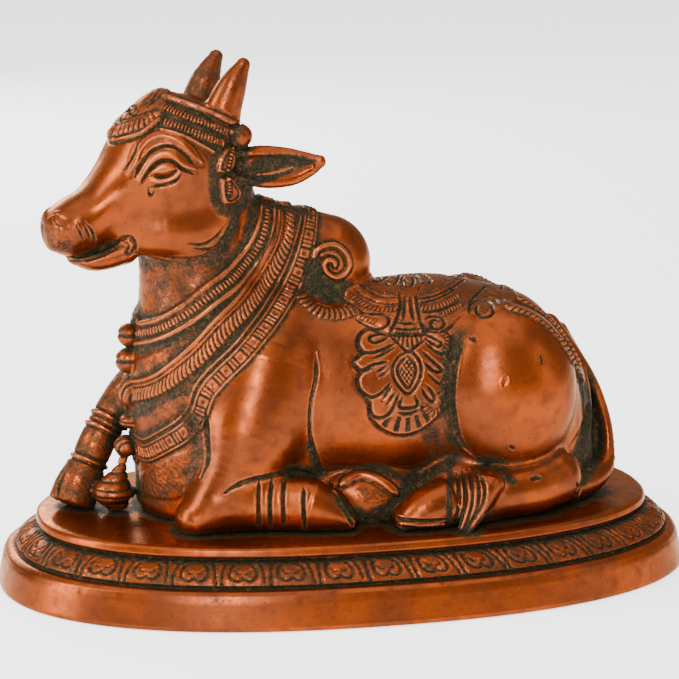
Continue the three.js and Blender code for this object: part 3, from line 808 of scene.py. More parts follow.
def bead_row(pitch, half, height):
    def shape(across, along, ends):
        row = flat(across, half, 0.3)
        bead = smoothstep(0.2, 0.65, waves(along, pitch)) * bump(across, half * 1.15)
        hold = np.minimum(flat(across, half + 0.2) * 1.3, 1)
        return height * bead, 0.2 * row * (1 - bead), 1 - 1.2 * bead, hold
    return shape


def stroke_row(pitch, half, height, lean=0.0, bend=0.0, cut=0.5):
    """A raised band crossed by slanting cuts."""
    def shape(across, along, ends):
        row = flat(across, half, 0.3)
        dome = np.sqrt(np.clip(1 - (across / (half * 1.15)) ** 2, 0, 1))
        stroke = smoothstep(0.6, 0.95, waves(along + lean * across + bend * across ** 2, pitch)) * row
        dark = np.maximum(stroke, 1 - row)
        return height * (0.4 + 0.6 * dome) * row, cut * stroke, dark, flat(across, half + 0.4)
    return shape


# Garlands: centre lines over the near shoulder, from nape to chest

COLLAR = points_of("""
    -29.3,0,111 -29.8,-7.1,110.2 -31.6,-12.3,104.5 -34.2,-14.1,99.1 -38.3,-14.9,93.6 -45.3,-20.4,87.9
    -53.6,-23.8,83.1 -62.5,-23.1,76.3 -71.2,-17.1,70.3 -77.3,-3.1,65.6 -77.6,0,65.3""")
ROPE = points_of("""
    -21.8,0,108.8 -22.1,-8.8,107.2 -23.9,-14.3,99.9 -27.4,-15.4,92.5 -32.2,-16.2,85.1 -40.5,-25.2,78.3
    -49.6,-29.1,71.2 -58.8,-29.7,62.1 -68.3,-25.2,53.2 -74.3,-18.7,48.1 -79,-6,44 -79.5,0,43""")
LINKS = points_of("""
    -13,0,107.9 -13.1,-3.9,107.8 -14.8,-10.6,104.3 -19.8,-16.3,90 -25.2,-19.4,81 -33.4,-28.7,73.6
    -43.1,-34.1,64.4 -52.1,-33.8,55.8 -57,-32.7,49.6 -59.8,-31.9,41.6 -64.3,-28.9,35.3 -70.8,-22.4,29.3
    -75.6,-13.8,24.4 -78.1,-4.6,24.4 -78.3,0,24.4""")
DRESS_PATCHES = lines_of("""
    -76.5,-2 -67.1,1.9 -58.5,5.1 -56.1,5.6 -64,-0.6 -76.2,-8.8; -72,-24.5 -69.2,-19.6 -62.2,-16.1
    -55.9,-15.1 -55.9,-18.2 -60.8,-22.4 -66.4,-25.9 -70.6,-28""")
CHEST_PATCH = points_of("""
    -74.8,-44.1 -69.2,-39.9 -55.2,-34.3 -51.7,-34.3 -53.1,-45.5 -59.4,-53.3 -72,-52.6""")


def narrowing(along):
    """The garlands are narrower at the nape than on the chest."""
    return 0.72 + 0.28 * smoothstep(4, 30, along)


def dress_ground(low):
    """Patina between the garlands, as far as low millimetres below the line."""
    def shape(across, along, ends):
        return 0, 0, 0.78, flat(across, 8.5, 1.5) * smoothstep(-low - 0.8, -low + 0.8, across)
    return shape


def collar_shape(across, along, ends):
    a = across / narrowing(along)
    band = flat(a, 4.9, 0.5)
    upper, lower = bump(a - 3.4, 1.25), bump(a + 3.4, 1.1)
    tooth = smoothstep(0.3, 0.65, waves(along, 1.5)) * flat(a, 1.15, 0.3)
    bright = np.maximum.reduce([upper, lower, tooth])
    return 0.7 * band + 0.75 * upper + 0.65 * lower + 0.5 * tooth, 0, 1 - bright, flat(a, 5.6, 0.8)


def rope_shape(across, along, ends):
    a = across / narrowing(along)
    rope = flat(a, 2.3, 0.35)
    stroke = smoothstep(0.55, 0.95, waves(along + 0.6 * across + 0.12 * across ** 2, 1.95))
    thick, thin = bump(a - 5.0, 1.15), bump(a - 3.3, 0.6)
    bright = np.maximum.reduce([rope * (1 - stroke), thick, thin])
    high = rope * (0.55 + 0.55 * np.sqrt(np.clip(1 - (a / 2.6) ** 2, 0, 1)) - 0.5 * stroke)
    return high + 0.85 * thick + 0.6 * thin, 0, 1 - bright, flat(a - 1.7, 5, 0.7)


def links_shape(across, along, ends):
    a = across / narrowing(along)
    u = along % 7.0
    row = flat(a, 1.95, 0.3)
    block, bars = flat(u - 2, 1.6, 0.3), np.maximum(flat(u - 4.7, 0.5, 0.3), flat(u - 6.1, 0.5, 0.3))
    hollow = block * bump(u - 2, 1.0) * bump(a, 1.1)
    link = row * np.maximum(block, bars)
    edge, upper, pair = bump(a + 2.9, 0.55), bump(a - 2.9, 0.6), bump(a - 5.0, 0.6)
    bright = np.maximum.reduce([link * (1 - 0.6 * hollow), edge, upper, 0.8 * pair])
    high = 0.3 * flat(a, 3.4, 0.5) + 0.65 * link - 0.35 * hollow + 0.5 * edge + 0.55 * upper + 0.5 * pair
    return high, 0, 1 - bright, flat(a - 1.2, 5, 0.7)


GARLAND_REACH = 11


def chase_garlands(skin):
    """First the ground of each garland, then its own work; on the far side, across runs the other way."""
    grounds = [dress_ground(low) for low in (8.5, 8.5, 4.4)]
    shapes = grounds + [collar_shape, rope_shape, links_shape]
    for side in (1, -1):
        lines = [skin.settle(refined([(x, side * y, z) for x, y, z in line], 5))
                 for line in (COLLAR, ROPE, LINKS)]
        for line, shape in zip(lines + lines, shapes):
            skin.follow(line, GARLAND_REACH, lambda across, along, ends: shape(side * across, along, ends))
    for patch in DRESS_PATCHES + [CHEST_PATCH]:
        for index, deep, facing, u, v in skin.inside(patch):
            hold = smoothstep(-0.3, 1.5, deep) * facing
            skin.work(index, 0.5 * hold, 0, 0.42, hold * (skin.raised[index] < 0.55))


STRING_BOX = ((-95, -10, 0), (-70, 9, 72))


def chase_string(skin):
    """The knob, beads, leaf and bell down the chest, ribbed across, with patina only between the ribs."""
    index = skin.near(*STRING_BOX)
    p = skin.points[index]
    y, z = p[:, 1], p[:, 2]
    gaps = np.stack([egg.distance(p) for egg in STRING_EGGS])
    nearest, gap = gaps.argmin(0), gaps.min(0)
    middle = np.array([egg.middle[2] for egg in STRING_EGGS])[nearest]
    high = np.array([egg.half[2] for egg in STRING_EGGS])[nearest]
    bell_gap = string_bell.distance(p)
    rib = bump((z - middle) / high - 0.1, 0.2)
    # The leaf is the tallest egg; it and the lowest bead are fluted lengthwise, and the bell is ringed.
    rib = np.where((high > 5) | (middle < 30), smoothstep(0.6, 0.95, waves(y + 0.3 * z, 2.8)), rib)
    rib = np.where(bell_gap < gap, smoothstep(0.7, 1.0, waves(z - 0.6, 2.8)), rib)
    on = smoothstep(0.9, 0.3, np.minimum(bell_gap, gap))
    skin.raised[index] *= 1 - on
    skin.cut[index] += on * (0.5 * rib - skin.cut[index])
    skin.dark[index] += on * (0.3 + 0.65 * rib - skin.dark[index])


# Head: headstall, forehead plaque, eyes, mouth and ears

JAW_EDGE = lines_of("-79.5,41 -77.5,37.6 -70.1,35.8 -58.1,34.6 -49.6,36.5 -43.6,43.2 -40.5,50")
THROAT_PATINA_AND_SHADE = lines_of("-75.8,33 -68.5,32 -58.2,31.5 -49.9,33.8 -44.7,38.6 -40.6,44.9 -38.8,52")
NECK_PATINA_AND_SHADE = lines_of("-73,22 -62,24 -51,29")
EAR_GROUND = points_of("""
    -35.5,65 -33.5,71.2 -27,73.2 -20.5,73.4 -12,72 -9.8,70 -19.5,65.2 -28.3,62.2 -34.5,60.5""")
BROW_RIDGES = lines_of("""
    -79.2,65.8 -76.9,69.9 -74.9,74.8 -71.6,78.5 -67.1,80.3 -62.6,79.5 -58.1,76.7 -54,72.2 -52.1,69.9""")
LID_RIDGES = lines_of("-75.1,63.2 -73,67 -70.1,71.1 -65.9,73.1 -62.2,72.3 -58.5,69.3 -54.2,67.3")
EYEBALLS = lines_of("-69.6,66.6 -66.3,67.7 -62.6,67.7")
LOWER_LIDS = lines_of("-70.8,63.4 -66.3,62.9 -62.2,64.4 -59.8,66.6")
EYE_CUTS = lines_of("""
    -80.7,67 -77.9,70.8 -76.2,74.1 -75.3,77.4; -76.6,64.3 -74.2,69.6 -70.8,73.8 -66.3,75.9 -62.6,75.8
    -59.2,73.7 -56.2,70.7 -54.2,69; -74.5,61.6 -71.9,66.2 -68.9,69.3 -65.6,70.7 -62.2,69.9 -59.2,67.6
    -55.1,65.8; -70.7,65.3 -67.1,64.6 -63.7,65.2 -61.2,67.1; -71,60.8 -68.2,61.3 -63.3,62.3 -60.7,64
    -59.4,65.8; -71.7,60.8 -71.4,58.9 -70.4,57.8 -69.3,59.5""")
FACE_CUTS = lines_of("""
    -57.5,40.2 -51.4,40 -46.1,43.4 -43,47.9; -55.1,38.4 -49.1,38.2 -44.6,41.2 -42.5,45.3; -81.6,42.9
    -78.3,43 -76.4,40.8 -76.6,37.8 -79,35.4; -106.5,50.4 -105.9,48.3 -104.4,46.9 -101.8,46.8; -97.9,47.1
    -96.6,44.2 -95.3,41.2; -95.6,48 -94,44.9 -92.6,41.2; -94.9,48.4 -92.5,45.3 -91.1,41.9 -91,39.4""")
UNDER_LIP_CUTS = lines_of("-100.7,34 -95.5,33.8 -89.5,35.6 -82.8,38.6")
NOSTRIL_WINGS = lines_of("-108.2,49.9 -106.3,51.3 -103.7,51.3 -101.8,49.4")
MOUTH_CURLS = lines_of("-80.9,41.6 -78.7,41.4 -77.7,39.3 -78.7,37.1")
MOUTH_LINES = lines_of("-105.9,36.9 -101.5,35.4 -96.2,35.6 -90.2,37.8 -84.3,40.4 -80.1,42.1")
NOSE_PATCH = points_of("""
    -109.7,47.1 -105.9,46.4 -102.2,44.2 -99.4,40.8 -98.9,37.4 -103.7,37.1 -107.4,38.5 -109.2,42.3""")
STALL_RIDGES = lines_of("-66.5,94.2 -63.3,93.3 -56.6,91 -49.1,88.3 -39.3,84")
STALL_ROWS = lines_of("-66.2,90.3 -58.1,87 -49.9,83.8 -41.3,81; -67.7,85.5 -60.3,83 -52.9,80 -44.6,77")
STALL_EDGES = lines_of("-67.1,82.2 -59.6,80.1 -51.4,76 -47.3,73.6")
STALL_OUTLINE = points_of("""
    -68,96 -56.6,93.2 -45,89 -36.5,85 -38,79 -44,73.5 -50.5,74.5 -57.5,79 -67.1,82.2 -70,86""")
DROP_GROUND = points_of("-44.6,79 -49.5,72 -50,64 -48,53 -42,49.5 -36,53 -33,60 -34,67 -36,76")
PLAQUE_RIMS = lines_of("-84.9,78 -79.8,78.8 -73.8,80.8 -69.2,84.3 -67.1,85.8")
PLAQUE_ROWS = lines_of("-83.8,81.2 -78.3,82.6 -73,84.4 -69.2,87.2")
PLAQUE_CUTS = lines_of("""
    -82,84.7 -79,85.5 -74.5,87 -70.1,88.8; -73.3,90.3 -70.1,92.4 -68,95.2;
    -71.9,89.8 -68.6,92.5 -66.3,95.2""")
PLAQUE_OUTLINE = points_of("""
    -86,77.5 -79.8,77.7 -73.8,79.8 -69.2,83 -66.5,86 -65,91 -64,96.5 -68,99 -76,92 -83,85""")
ROSETTE = ((-76.6, 88.5), 1.6)
DROP_PODS = lines_of("""
    -40.8,77.6 -44.6,74.4 -46.5,70.7 -47,66.6 -43.9,65.8 -41.3,67 -40,70.7 -39.3,74.4; -45.8,64.6 -46,60.2
    -45,55.7 -42.8,54 -39.4,55.5 -37.9,59.1 -39.4,62.5 -41.3,64.9""")
DROP_BEADS = lines_of("-40.8,75.9 -42.4,71.8 -43.5,67; -43,64 -42.8,61 -43,58")
EAR_VEINS = lines_of("-31.9,65.4 -25.2,66.4 -17.7,68.6")


def chase_head(skin):
    draw, inside, ground = (partial(work, head=True) for work in (skin.draw, skin.inside, skin.ground))
    ground((STALL_OUTLINE, DROP_GROUND), (-1.2, 1.2), 0.3, 0, 0.85)
    draw(STALL_RIDGES, 3, ridge(1.5, 1.2, 1))
    draw(STALL_ROWS, 3, bead_row(1.25, 1.5, 1.0))
    draw(STALL_EDGES, 3, ridge(0.8, 0.8, 0.6))
    ground([PLAQUE_OUTLINE], (-0.5, 0.7), 0.8, 0, 0.35)
    draw(PLAQUE_RIMS, 3, ridge(0.9, 1.3, 1))
    draw(PLAQUE_ROWS, 3.4, stroke_row(1.9, 2.0, 1.2, lean=0.25))
    draw(PLAQUE_CUTS, 2, groove(0.6, 0.6))
    (u, v), radius = ROSETTE
    ring = [(u + radius * math.cos(a), v + radius * math.sin(a)) for a in np.linspace(0, TURN, 9)]
    draw([ring], 2, groove(0.5, 0.6))
    draw(BROW_RIDGES, 4, ridge(1.9, 0.6, 0.3, 6))
    draw(LID_RIDGES, 4, ridge(1.5, 0.7, 0, 4))
    draw(EYEBALLS, 3, ridge(2.1, 0.9, 0, 3))
    draw(LOWER_LIDS, 3, ridge(1.2, 0.5, 0, 3))
    draw(EYE_CUTS, 2.5, groove(0.75, 0.85, taper=4))
    draw(FACE_CUTS, 2, groove(0.6, 0.5, 0.85, 5))
    draw(MOUTH_LINES, 3, groove(1.0, 1.2, taper=6))
    draw(UNDER_LIP_CUTS, 2, groove(0.7, 0.6, 0.8, 5))
    draw(MOUTH_CURLS, 3, ridge(0.9, 0.8, 0.8))
    draw(NOSTRIL_WINGS, 3, ridge(1.3, 0.4, 0, 3))
    draw(JAW_EDGE, 3, groove(0.8, 0.3, 0.6, 6))
    # Painted shade, over the patina there, under the jaw's edge and down the neck below it.
    skin.draw(THROAT_PATINA_AND_SHADE, 7, patina_shade_band(5, 0.85))
    skin.draw(NECK_PATINA_AND_SHADE, 14, patina_shade_band(13, 0.5))
    for (horn, _), dark in zip(HORNS, (0.3, 0.5)):
        skin.work(np.where(horn.distance(to_head(skin.points)) < 0.8)[0], 0, 0, dark, 1)
    ground([EAR_GROUND], (-0.6, 1.0), 0, 0, 0.92)
    for index, deep, facing, u, v in inside(NOSE_PATCH):
        hatch = net(u, v, (0.6, -0.8), (0.5, 0.9), 0.9)
        hold = smoothstep(-0.2, 0.5, deep) * facing
        skin.work(index, 0, 0.2 * hatch * hold, 0.22 + 0.5 * hatch, hold)
    for pod in DROP_PODS:
        for index, deep, facing, u, v in inside(pod):
            hold = smoothstep(-0.2, 1.0, deep) * facing
            skin.work(index, 1.7 * hold, 0.5 * bump(deep - 1.7, 0.5) * hold, bump(deep - 1.7, 0.6), hold)
    draw(DROP_BEADS, 3, bead_row(1.3, 1.2, 2.4))
    draw(EAR_VEINS, 2, ridge(0.6, 0.4, 0, 4))


# Hump and back cloth

HUMP_SCROLLS = lines_of("""
    -11.1,35 -9.8,37.9 -6.2,39.6 -2.3,39.4 1,36.3 2,32.4 0.3,29.1 -2.9,27.9 -6.2,29.8 -7.2,32.4 -5.9,34.2
    -3.6,33.7 -3.1,31.7""")
HUMP_GROUND = points_of("""
    -15,34 -10.8,38.6 -8.2,36.3 -7.5,29.8 -2.9,27.1 1.7,27.8 6,24 1,18.6 -4.2,17.6 -12.8,20.6 -16,26.5""")
HUMP_FANS = lines_of("-16,21.3 -12.7,17.7 -8.2,15 -2.9,14.4 2.3,15.4 5,16.6")
CLOTH_OUTLINE = points_of("""
    7.8,27.8 2.2,24.2 0.2,20.7 7.1,14.1 14.8,8.8 19.7,7 29.4,7 36,8 41.3,11.9 45.7,14.4 51.3,13 55.5,15.8
    60.4,17.9 63.9,20.7 57.6,26.9 51.3,29.8 36.6,32.7 26,34.1 14.1,32.4""")
CLOTH_CUTS = lines_of("""
    10,26.3 12.3,25.8 14.8,26.7 17.7,28.7; 15.1,25.7 16.6,24.4 18.3,24.5 19.6,26.1 20.5,28.4; 21.6,27.5
    21.3,25.5 22.5,24.1 24.3,24 25.6,25.4 25.4,27.6; 26,28.4 27.7,26 29.5,25.1 31.3,25.4 31.8,26.4 29.7,28;
    28.6,24.5 27.2,22.8; 5.1,25.7 8.9,22.5 13,20.6 16.6,20.1 19.8,20.1; 3.2,24 6.8,20.8 11,18.7 15.1,17.9
    19.8,17.8; -0.6,20.5 3.3,17.2 6.4,15.1 9.7,14.1 15,14.1; 26.7,19.8 31.5,20.2 35.4,21.6 40,23.9 44,26.5;
    27,17.9 31.8,18.9 35.6,20.4 40.9,23.2; 28.5,14.6 33.3,15.1 36.9,16.3 42.3,18.7; 20.1,21.3 20.8,18.2
    20.2,14.9 18.6,10.8 16.5,6.8; 26.4,21.2 26.9,16.7 27.9,12 29.1,8.7 30.5,5.9; 22.1,20.4 22.1,16.2
    21.6,11.7; 24.3,20.4 24.6,16.2 25.6,11.5; 19.4,11 23.1,10.6 26.9,11; 18.7,8.8 23.3,8.5 28.2,8.8;
    14.1,13.8 16.1,12.8 16.4,11 15.1,9.6 12.6,9 9.7,9.6 6.9,11 4.2,12.8; 29.9,12 30.4,12.8 32,13.3 34.6,13.1
    36.4,12 36.7,10.2 35.1,9 33.1,9 31.8,10.2 32.3,11.7 33.8,12 34.9,11; 29.2,10 31,7.9 33.6,7.4 36.7,7.9
    40.7,11; 45.7,14.4 46.7,17.7 50.6,19.1 54.1,17.2 54.4,14.4 51.3,13.1 48.8,14.4 48.8,16.6 50.9,17.2;
    52.3,24.2 56.2,22.9 60,20.7; 51.3,22.4 55.5,21 59,18.7; 50.2,20.7 54.4,19.8 56.9,17.5; 54.1,25.2
    58.3,23.8 62.1,21.4; 53,25.2 47.1,19.6 45.7,17.2""")
CLOTH_BEADS = lines_of("""
    7.1,25.7 10.2,23.4 14.1,21.8 20,21.2; 27.7,21.7 31.5,22.2 35.1,23.6 39.3,25.9 43,28""")
CLOTH_LEAVES = lines_of("""
    1.7,21.7 5.6,18.9 9.7,16.7 14.1,15.8 19.4,16; 27.9,16.2 33.3,16.8 37.2,18.2 41.8,20.6""")
CLOTH_ROPES = lines_of("4,14.5 7.1,12.8 10.7,11.7; 36.1,14 38.7,15.4 42.8,17.4")
PENDANT_OUTLINE = points_of("""
    18,6.3 14.3,6.6 9.3,8.4 5.8,6.2 5.2,2.4 6.8,0 3.4,-3.2 6.1,-6.4 5,-9.4 5.5,-13 8.2,-15.8 9.4,-18.9
    9.9,-23.1 12.4,-26.3 16.3,-28.9 21.1,-29.8 26.7,-28.6 31.2,-25.9 37,-20.3 37.3,-16.7 37.9,-10.8
    38.9,-6.9 37.9,-2.9 38.7,1.3 39,4.9 36.2,7.4 32.3,8.3 30.3,7.6 28.4,6.3""")
PENDANT_CUTS = lines_of("""
    16.6,6.3 20,3.3 23.4,0.4 26.7,2.7 30.1,5.1; 9.4,8.7 7.1,8.2 5.5,5.9 5.5,2.8 7,0.5 10.2,0 14.6,1.3
    18.2,3.1; 15.9,7.3 12.5,6.7 9.7,5.8 9.4,4.5 11,3.6 14.1,4.5 16.4,5.9; 3.4,-3.2 6.8,-0.3 11.3,0.3
    15.2,1.8 18.8,3.4; 3.4,-3.5 6.1,-6.4 10.4,-4.3 16,-3.1; 18.3,1.8 14.3,-0.4 10.3,-2.2; 10.7,-5.6 7.1,-6.5
    5.1,-9.1 5.5,-12.5 7.8,-15 10.7,-15.9 14.1,-14.1 17,-10.8; 15.7,-4.5 13.5,-5.9 11.3,-7.4; 16.2,-6.3
    14.1,-7.7 11.8,-9.2; 10,-17 9.4,-19.8 10.6,-22.7 13.8,-23.4 16.6,-21.7 18.5,-18.4 20.1,-14.4; 17.3,-11.9
    15.7,-14.4 13.9,-17.1; 18.8,-13.7 17.1,-16.4 15.2,-18.9; 23.9,0.7 20.2,-1.1 18.1,-4.3 17.7,-7.1
    19.1,-10.8 23.3,-14.8 26.7,-11.1 28.1,-7.4 27.8,-3.5 25.8,-0.4 23.9,0.7; 23.3,-1.1 20.8,-3.2 19.5,-6.3
    20.8,-9.4 23.4,-12.6 25.3,-9.7 26.3,-6.3 25.3,-3.2 23.3,-1.1; 29.7,6.7 32.8,5.2 35.5,3.8 34.7,2.3
    31.8,3.6 29.6,5.2; 28.4,0.7 31.7,-2.4 35.1,-5.5 34.8,-7 32,-6 28.9,-2.9; 29.8,-11.3 32,-14.1 33,-16.4
    32,-17.5 29.8,-15.6 28.4,-12.7; 37.4,0.7 35.6,-0.3 32.8,1 29.7,3.8; 36.2,-11.6 33.7,-10.4 30.3,-7.1;
    21.3,-15.7 20.2,-19.3 23.3,-19.9 26.8,-18.8 25.7,-15.1; 19.7,-21.4 23.3,-22 27.8,-20.3""")
ROPE_PETALS = lines_of("""
    35.6,7.4 37.7,5.9 38.3,3.6 37.4,0.7; 36.5,-2.2 38.7,-4.6 38.6,-8.3 36.2,-11.6; 34.8,-14.4 37.2,-16.7
    36.2,-19.8 32.6,-21.7 29.2,-19.5""")
NET_OUTLINE = points_of("""
    23.3,-2.1 21.3,-3.7 20.3,-6.3 21.3,-9 23.3,-11.6 24.8,-9.3 25.6,-6.3 24.8,-3.7""")
FAN_ROOT = (23.3, 17.0)
FAN_OUTLINE = points_of("18.7,8.3 23.3,8 28.2,8.3 29.6,5.1 23.4,1.2 17.2,6")
SCALLOP_ROOT = (23.3, -12.0)
SCALLOP_OUTLINE = points_of("""
    18.8,-22 23,-22.7 28.1,-21.4 34,-21.9 31,-25.2 26.7,-27.8 21.1,-29 16.3,-28.1 12.4,-25.3 14,-23.8""")
CRUPPERS = lines_of("""
    60.7,16.5 67.4,14.4 73.7,10.5 79.3,4.6 83.5,-2.5 86.7,-9.5; 64.6,19.6 70.9,15.8 77.2,10.2 82.1,3.2
    85.6,-3.2""")


def fan(skin, root, outline, count, width, inner):
    """Cuts that spread from a root inside an outline."""
    for index, deep, facing, u, v in skin.inside(outline):
        angle = np.arctan2(u - root[0], root[1] - v)
        away = np.hypot(u - root[0], v - root[1])
        stroke = smoothstep(0.35, 0.8, waves(angle, width / count)) * smoothstep(inner, inner + 0.8, away)
        hold = smoothstep(0.3, 0.9, deep) * facing
        skin.work(index, 0, 0.45 * stroke * hold, 1, stroke * hold)


def chase_back(skin):
    skin.ground([HUMP_GROUND], (-0.5, 1.5), 0, 0.5, 0.95)
    skin.draw(HUMP_SCROLLS, 3, ridge(1.3, 1.2, 1))
    skin.draw(HUMP_FANS, 4.4, stroke_row(1.9, 2.6, 0.9, bend=0.05))
    for index, deep, facing, u, v in skin.inside(CLOTH_OUTLINE):
        hold = smoothstep(-0.4, 0.6, deep)
        skin.work(index, 0.6 * hold, 0, 0.34, hold)
    for index, deep, facing, u, v in skin.inside(PENDANT_OUTLINE):
        hold = smoothstep(-0.3, 0.9, deep)
        around = bump(deep + 0.5, 1.0)
        skin.work(index, 1.1 * hold, 0.3 * around, np.where(deep < 0, 0.85, 0.12), np.maximum(hold, around))
    skin.draw(CLOTH_LEAVES, 3, stroke_row(1.5, 1.3, 0.8, lean=0.4))
    skin.draw(CLOTH_BEADS, 2, bead_row(1.1, 0.55, 0.9))
    skin.draw(CLOTH_CUTS, 2.5, groove(0.62, 0.7))
    skin.draw(CLOTH_ROPES, 3, stroke_row(1.4, 0.9, 0.8, lean=0.6))
    skin.draw(ROPE_PETALS, 3, stroke_row(1.5, 1.2, 1.1, lean=0.3))
    skin.draw(PENDANT_CUTS, 2.5, groove(0.68, 0.9, 0.9))
    fan(skin, FAN_ROOT, FAN_OUTLINE, 15, 2, 0)
    fan(skin, SCALLOP_ROOT, SCALLOP_OUTLINE, 23, TURN, 10)
    for index, deep, facing, u, v in skin.inside(NET_OUTLINE):
        mesh = net(u, v, (0.75, -0.75), (0.6, 0.95), 1.7)
        hold = smoothstep(-0.2, 0.3, deep)
        skin.work(index, 1.1 * hold, 0.6 * mesh * hold, mesh, hold)
    skin.draw(CRUPPERS, 5, patina_shade_band(3.4, 0.85))
    skin.draw(CRUPPERS, 4, stroke_row(2.1, 1.7, 1.2, lean=0.5, cut=0.4))


# Legs, hooves, tail tuft and the ground between them

LEG_CUTS = lines_of("""
    -30.9,-46.5 -31.2,-55.9 -30.9,-65.8; -26.3,-45.6 -27,-55.9 -26.6,-65.8; -21.9,-45.6 -22.2,-55
    -21.7,-65.5; -14.5,-48.9 -14.7,-58.3 -13.9,-66.2; -5.7,-46.6 -0.6,-55.8 4.5,-64.5""")
HOOF_CUTS = lines_of("""
    18.9,-59.9 23.1,-61 30.3,-61.5 37.4,-61; 18.9,-62 23.1,-64.5 29.2,-65.1 36.9,-64.5""")
CLEFTS = lines_of("-102.1,-43.7 -104.2,-48.4 -104.9,-55.4")
ANKLET_ROWS = (14, 15, 19)
SOLE_CUTS = lines_of("20,-62.2 25.1,-62.7 30.3,-63 37.2,-62.5")
TUFT_CUTS = lines_of("""
    41.4,-43.5 42.3,-51.2 41.5,-58.9 40.8,-65.1; 43.6,-42.8 44.7,-52.2 43.6,-58.9 41.8,-66.1; 46,-42.5
    47,-52.2 45.9,-58.9 42.9,-67.1; 48.4,-42.8 49.5,-51.2 48.5,-57.9 44.1,-66.6; 49.8,-44.5 51.8,-50.1
    50.5,-56.3 46.7,-62""")
FOLD_LEAVES = lines_of("-1.1,-48.4 1.5,-46 6.1,-44.2 11.2,-45.3 15.9,-48.1 19.5,-51.4")
FOLD_LENS = points_of("4,-50.1 7.1,-48.9 12.3,-49.4 17.4,-52.2 14.8,-54.5 9.7,-54.8 6.1,-53.8")
BODY_CREASES = lines_of("""
    -10.3,0.4 -10.1,-8.1 -11.7,-16.5 -12.4,-23.5 -11.9,-31.9 -9.7,-38.9 -7.7,-43.2; 43.4,2 41.6,-3.1
    40.4,-9.5 40.1,-17.9 41.5,-27.7 44.3,-34 48.5,-38.2; 48.5,-38.2 54.8,-41.6 61.5,-46.2; 87,-10.9
    87.7,-17.9 87,-26.3 82.4,-34.7""")
ELBOW_CREASES = lines_of("-43.6,-51.2 -40.5,-49.1 -34.2,-46.6 -27.2,-45 -18.6,-42.9 -10.4,-44.8")
TAIL_HOLLOW = points_of("""
    87.6,-11 87.4,-15 87.6,-19.6 87,-24.8 86,-30 84,-35.8 84.3,-37.2 87.2,-43.5 86.3,-49 89.9,-47.4
    93.4,-41.6 94.7,-35.1 94.1,-28.7 91.8,-19.6 90,-13 88.6,-9.5""")
HOCK_EDGES = lines_of("85.3,-47.4 86,-50.9 84.1,-55.8 80.2,-59")
ARM_EDGES = lines_of("-50.2,-20.9 -50.2,-28.7 -49.8,-38.5 -52.3,-45.5")
# Where patina was left, and where shade is painted into the hollow beside the tail: the line, how far it
# reaches, how dark it is, and on how many sides.
PATINA_AND_SHADE_LINES = [
    ("43,9 39.8,0 38.6,-9.5 38,-18 39.5,-27.7 42.3,-35", 4.5, 0.85, 2),
    ("38,-22 32,-30 36,-36 42.1,-38.3", 6, 0.55, 1),
    ("42.1,-37.3 35.4,-43 27.7,-44 20,-45 12.8,-42 5,-42", 3.2, 0.85, 1),
    ("-3.2,-52.7 2,-56.8 7.1,-61 12.8,-58.9 16.9,-56.9 20,-52.7 25.1,-48.1 32.3,-45.5", 5, 0.9, 1),
    ("39,-43 38.7,-52 38.3,-66", 1.8, 1, 1),
    ("52,-41.5 57,-43.5 63,-47.5", 2.6, 1, 1),
    ("54.9,-56.9 49.8,-61.5", 3, 0.8, 1),
    ("-12.9,-31.1 -11.4,-37.3 -9.3,-41.9 -5.7,-45", 2.4, 0.9, 1),
    ("-20,-44 -12,-45", 2.6, 0.9, 1),
    # These two paint shade, over patina, into the hollow between the rump and the tail.
    ("86,-8 88,-18 87.5,-28 84,-37", 4.5, 0.95, 2),
    ("89,-6 91,-16 90.5,-28 87,-38", 3.5, 0.95, 2),
    ("-80,-46 -68,-51 -60,-49", 9, 0.5, 1),
    ("-58,-20 -54.5,-28 -53.5,-38 -56.5,-48", 5, 0.7, 1),
]
# Casting flaws on the near haunch: the stroke, half its width, its depth and its darkness.
FLAWS = [
    ("45.8,5.9 47.4,4.9 48.6,4.2", 0.7, 0.4, 0.9),
    ("47.2,6.4 48.6,4.8", 0.5, 0.4, 0.9),
    ("72,-0.5 72.6,-2.2 72.3,-4.2", 0.6, 0.4, 0.9),
    ("59.8,-8.6 58.6,-12", 1.0, 0.22, 0.2),
    ("60.8,-33.8 62.4,-35.2", 0.8, 0.5, 0.9),
    ("68.4,-46.3 70.4,-45.5 72.4,-45.5", 1.1, 0.6, 0.8),
]


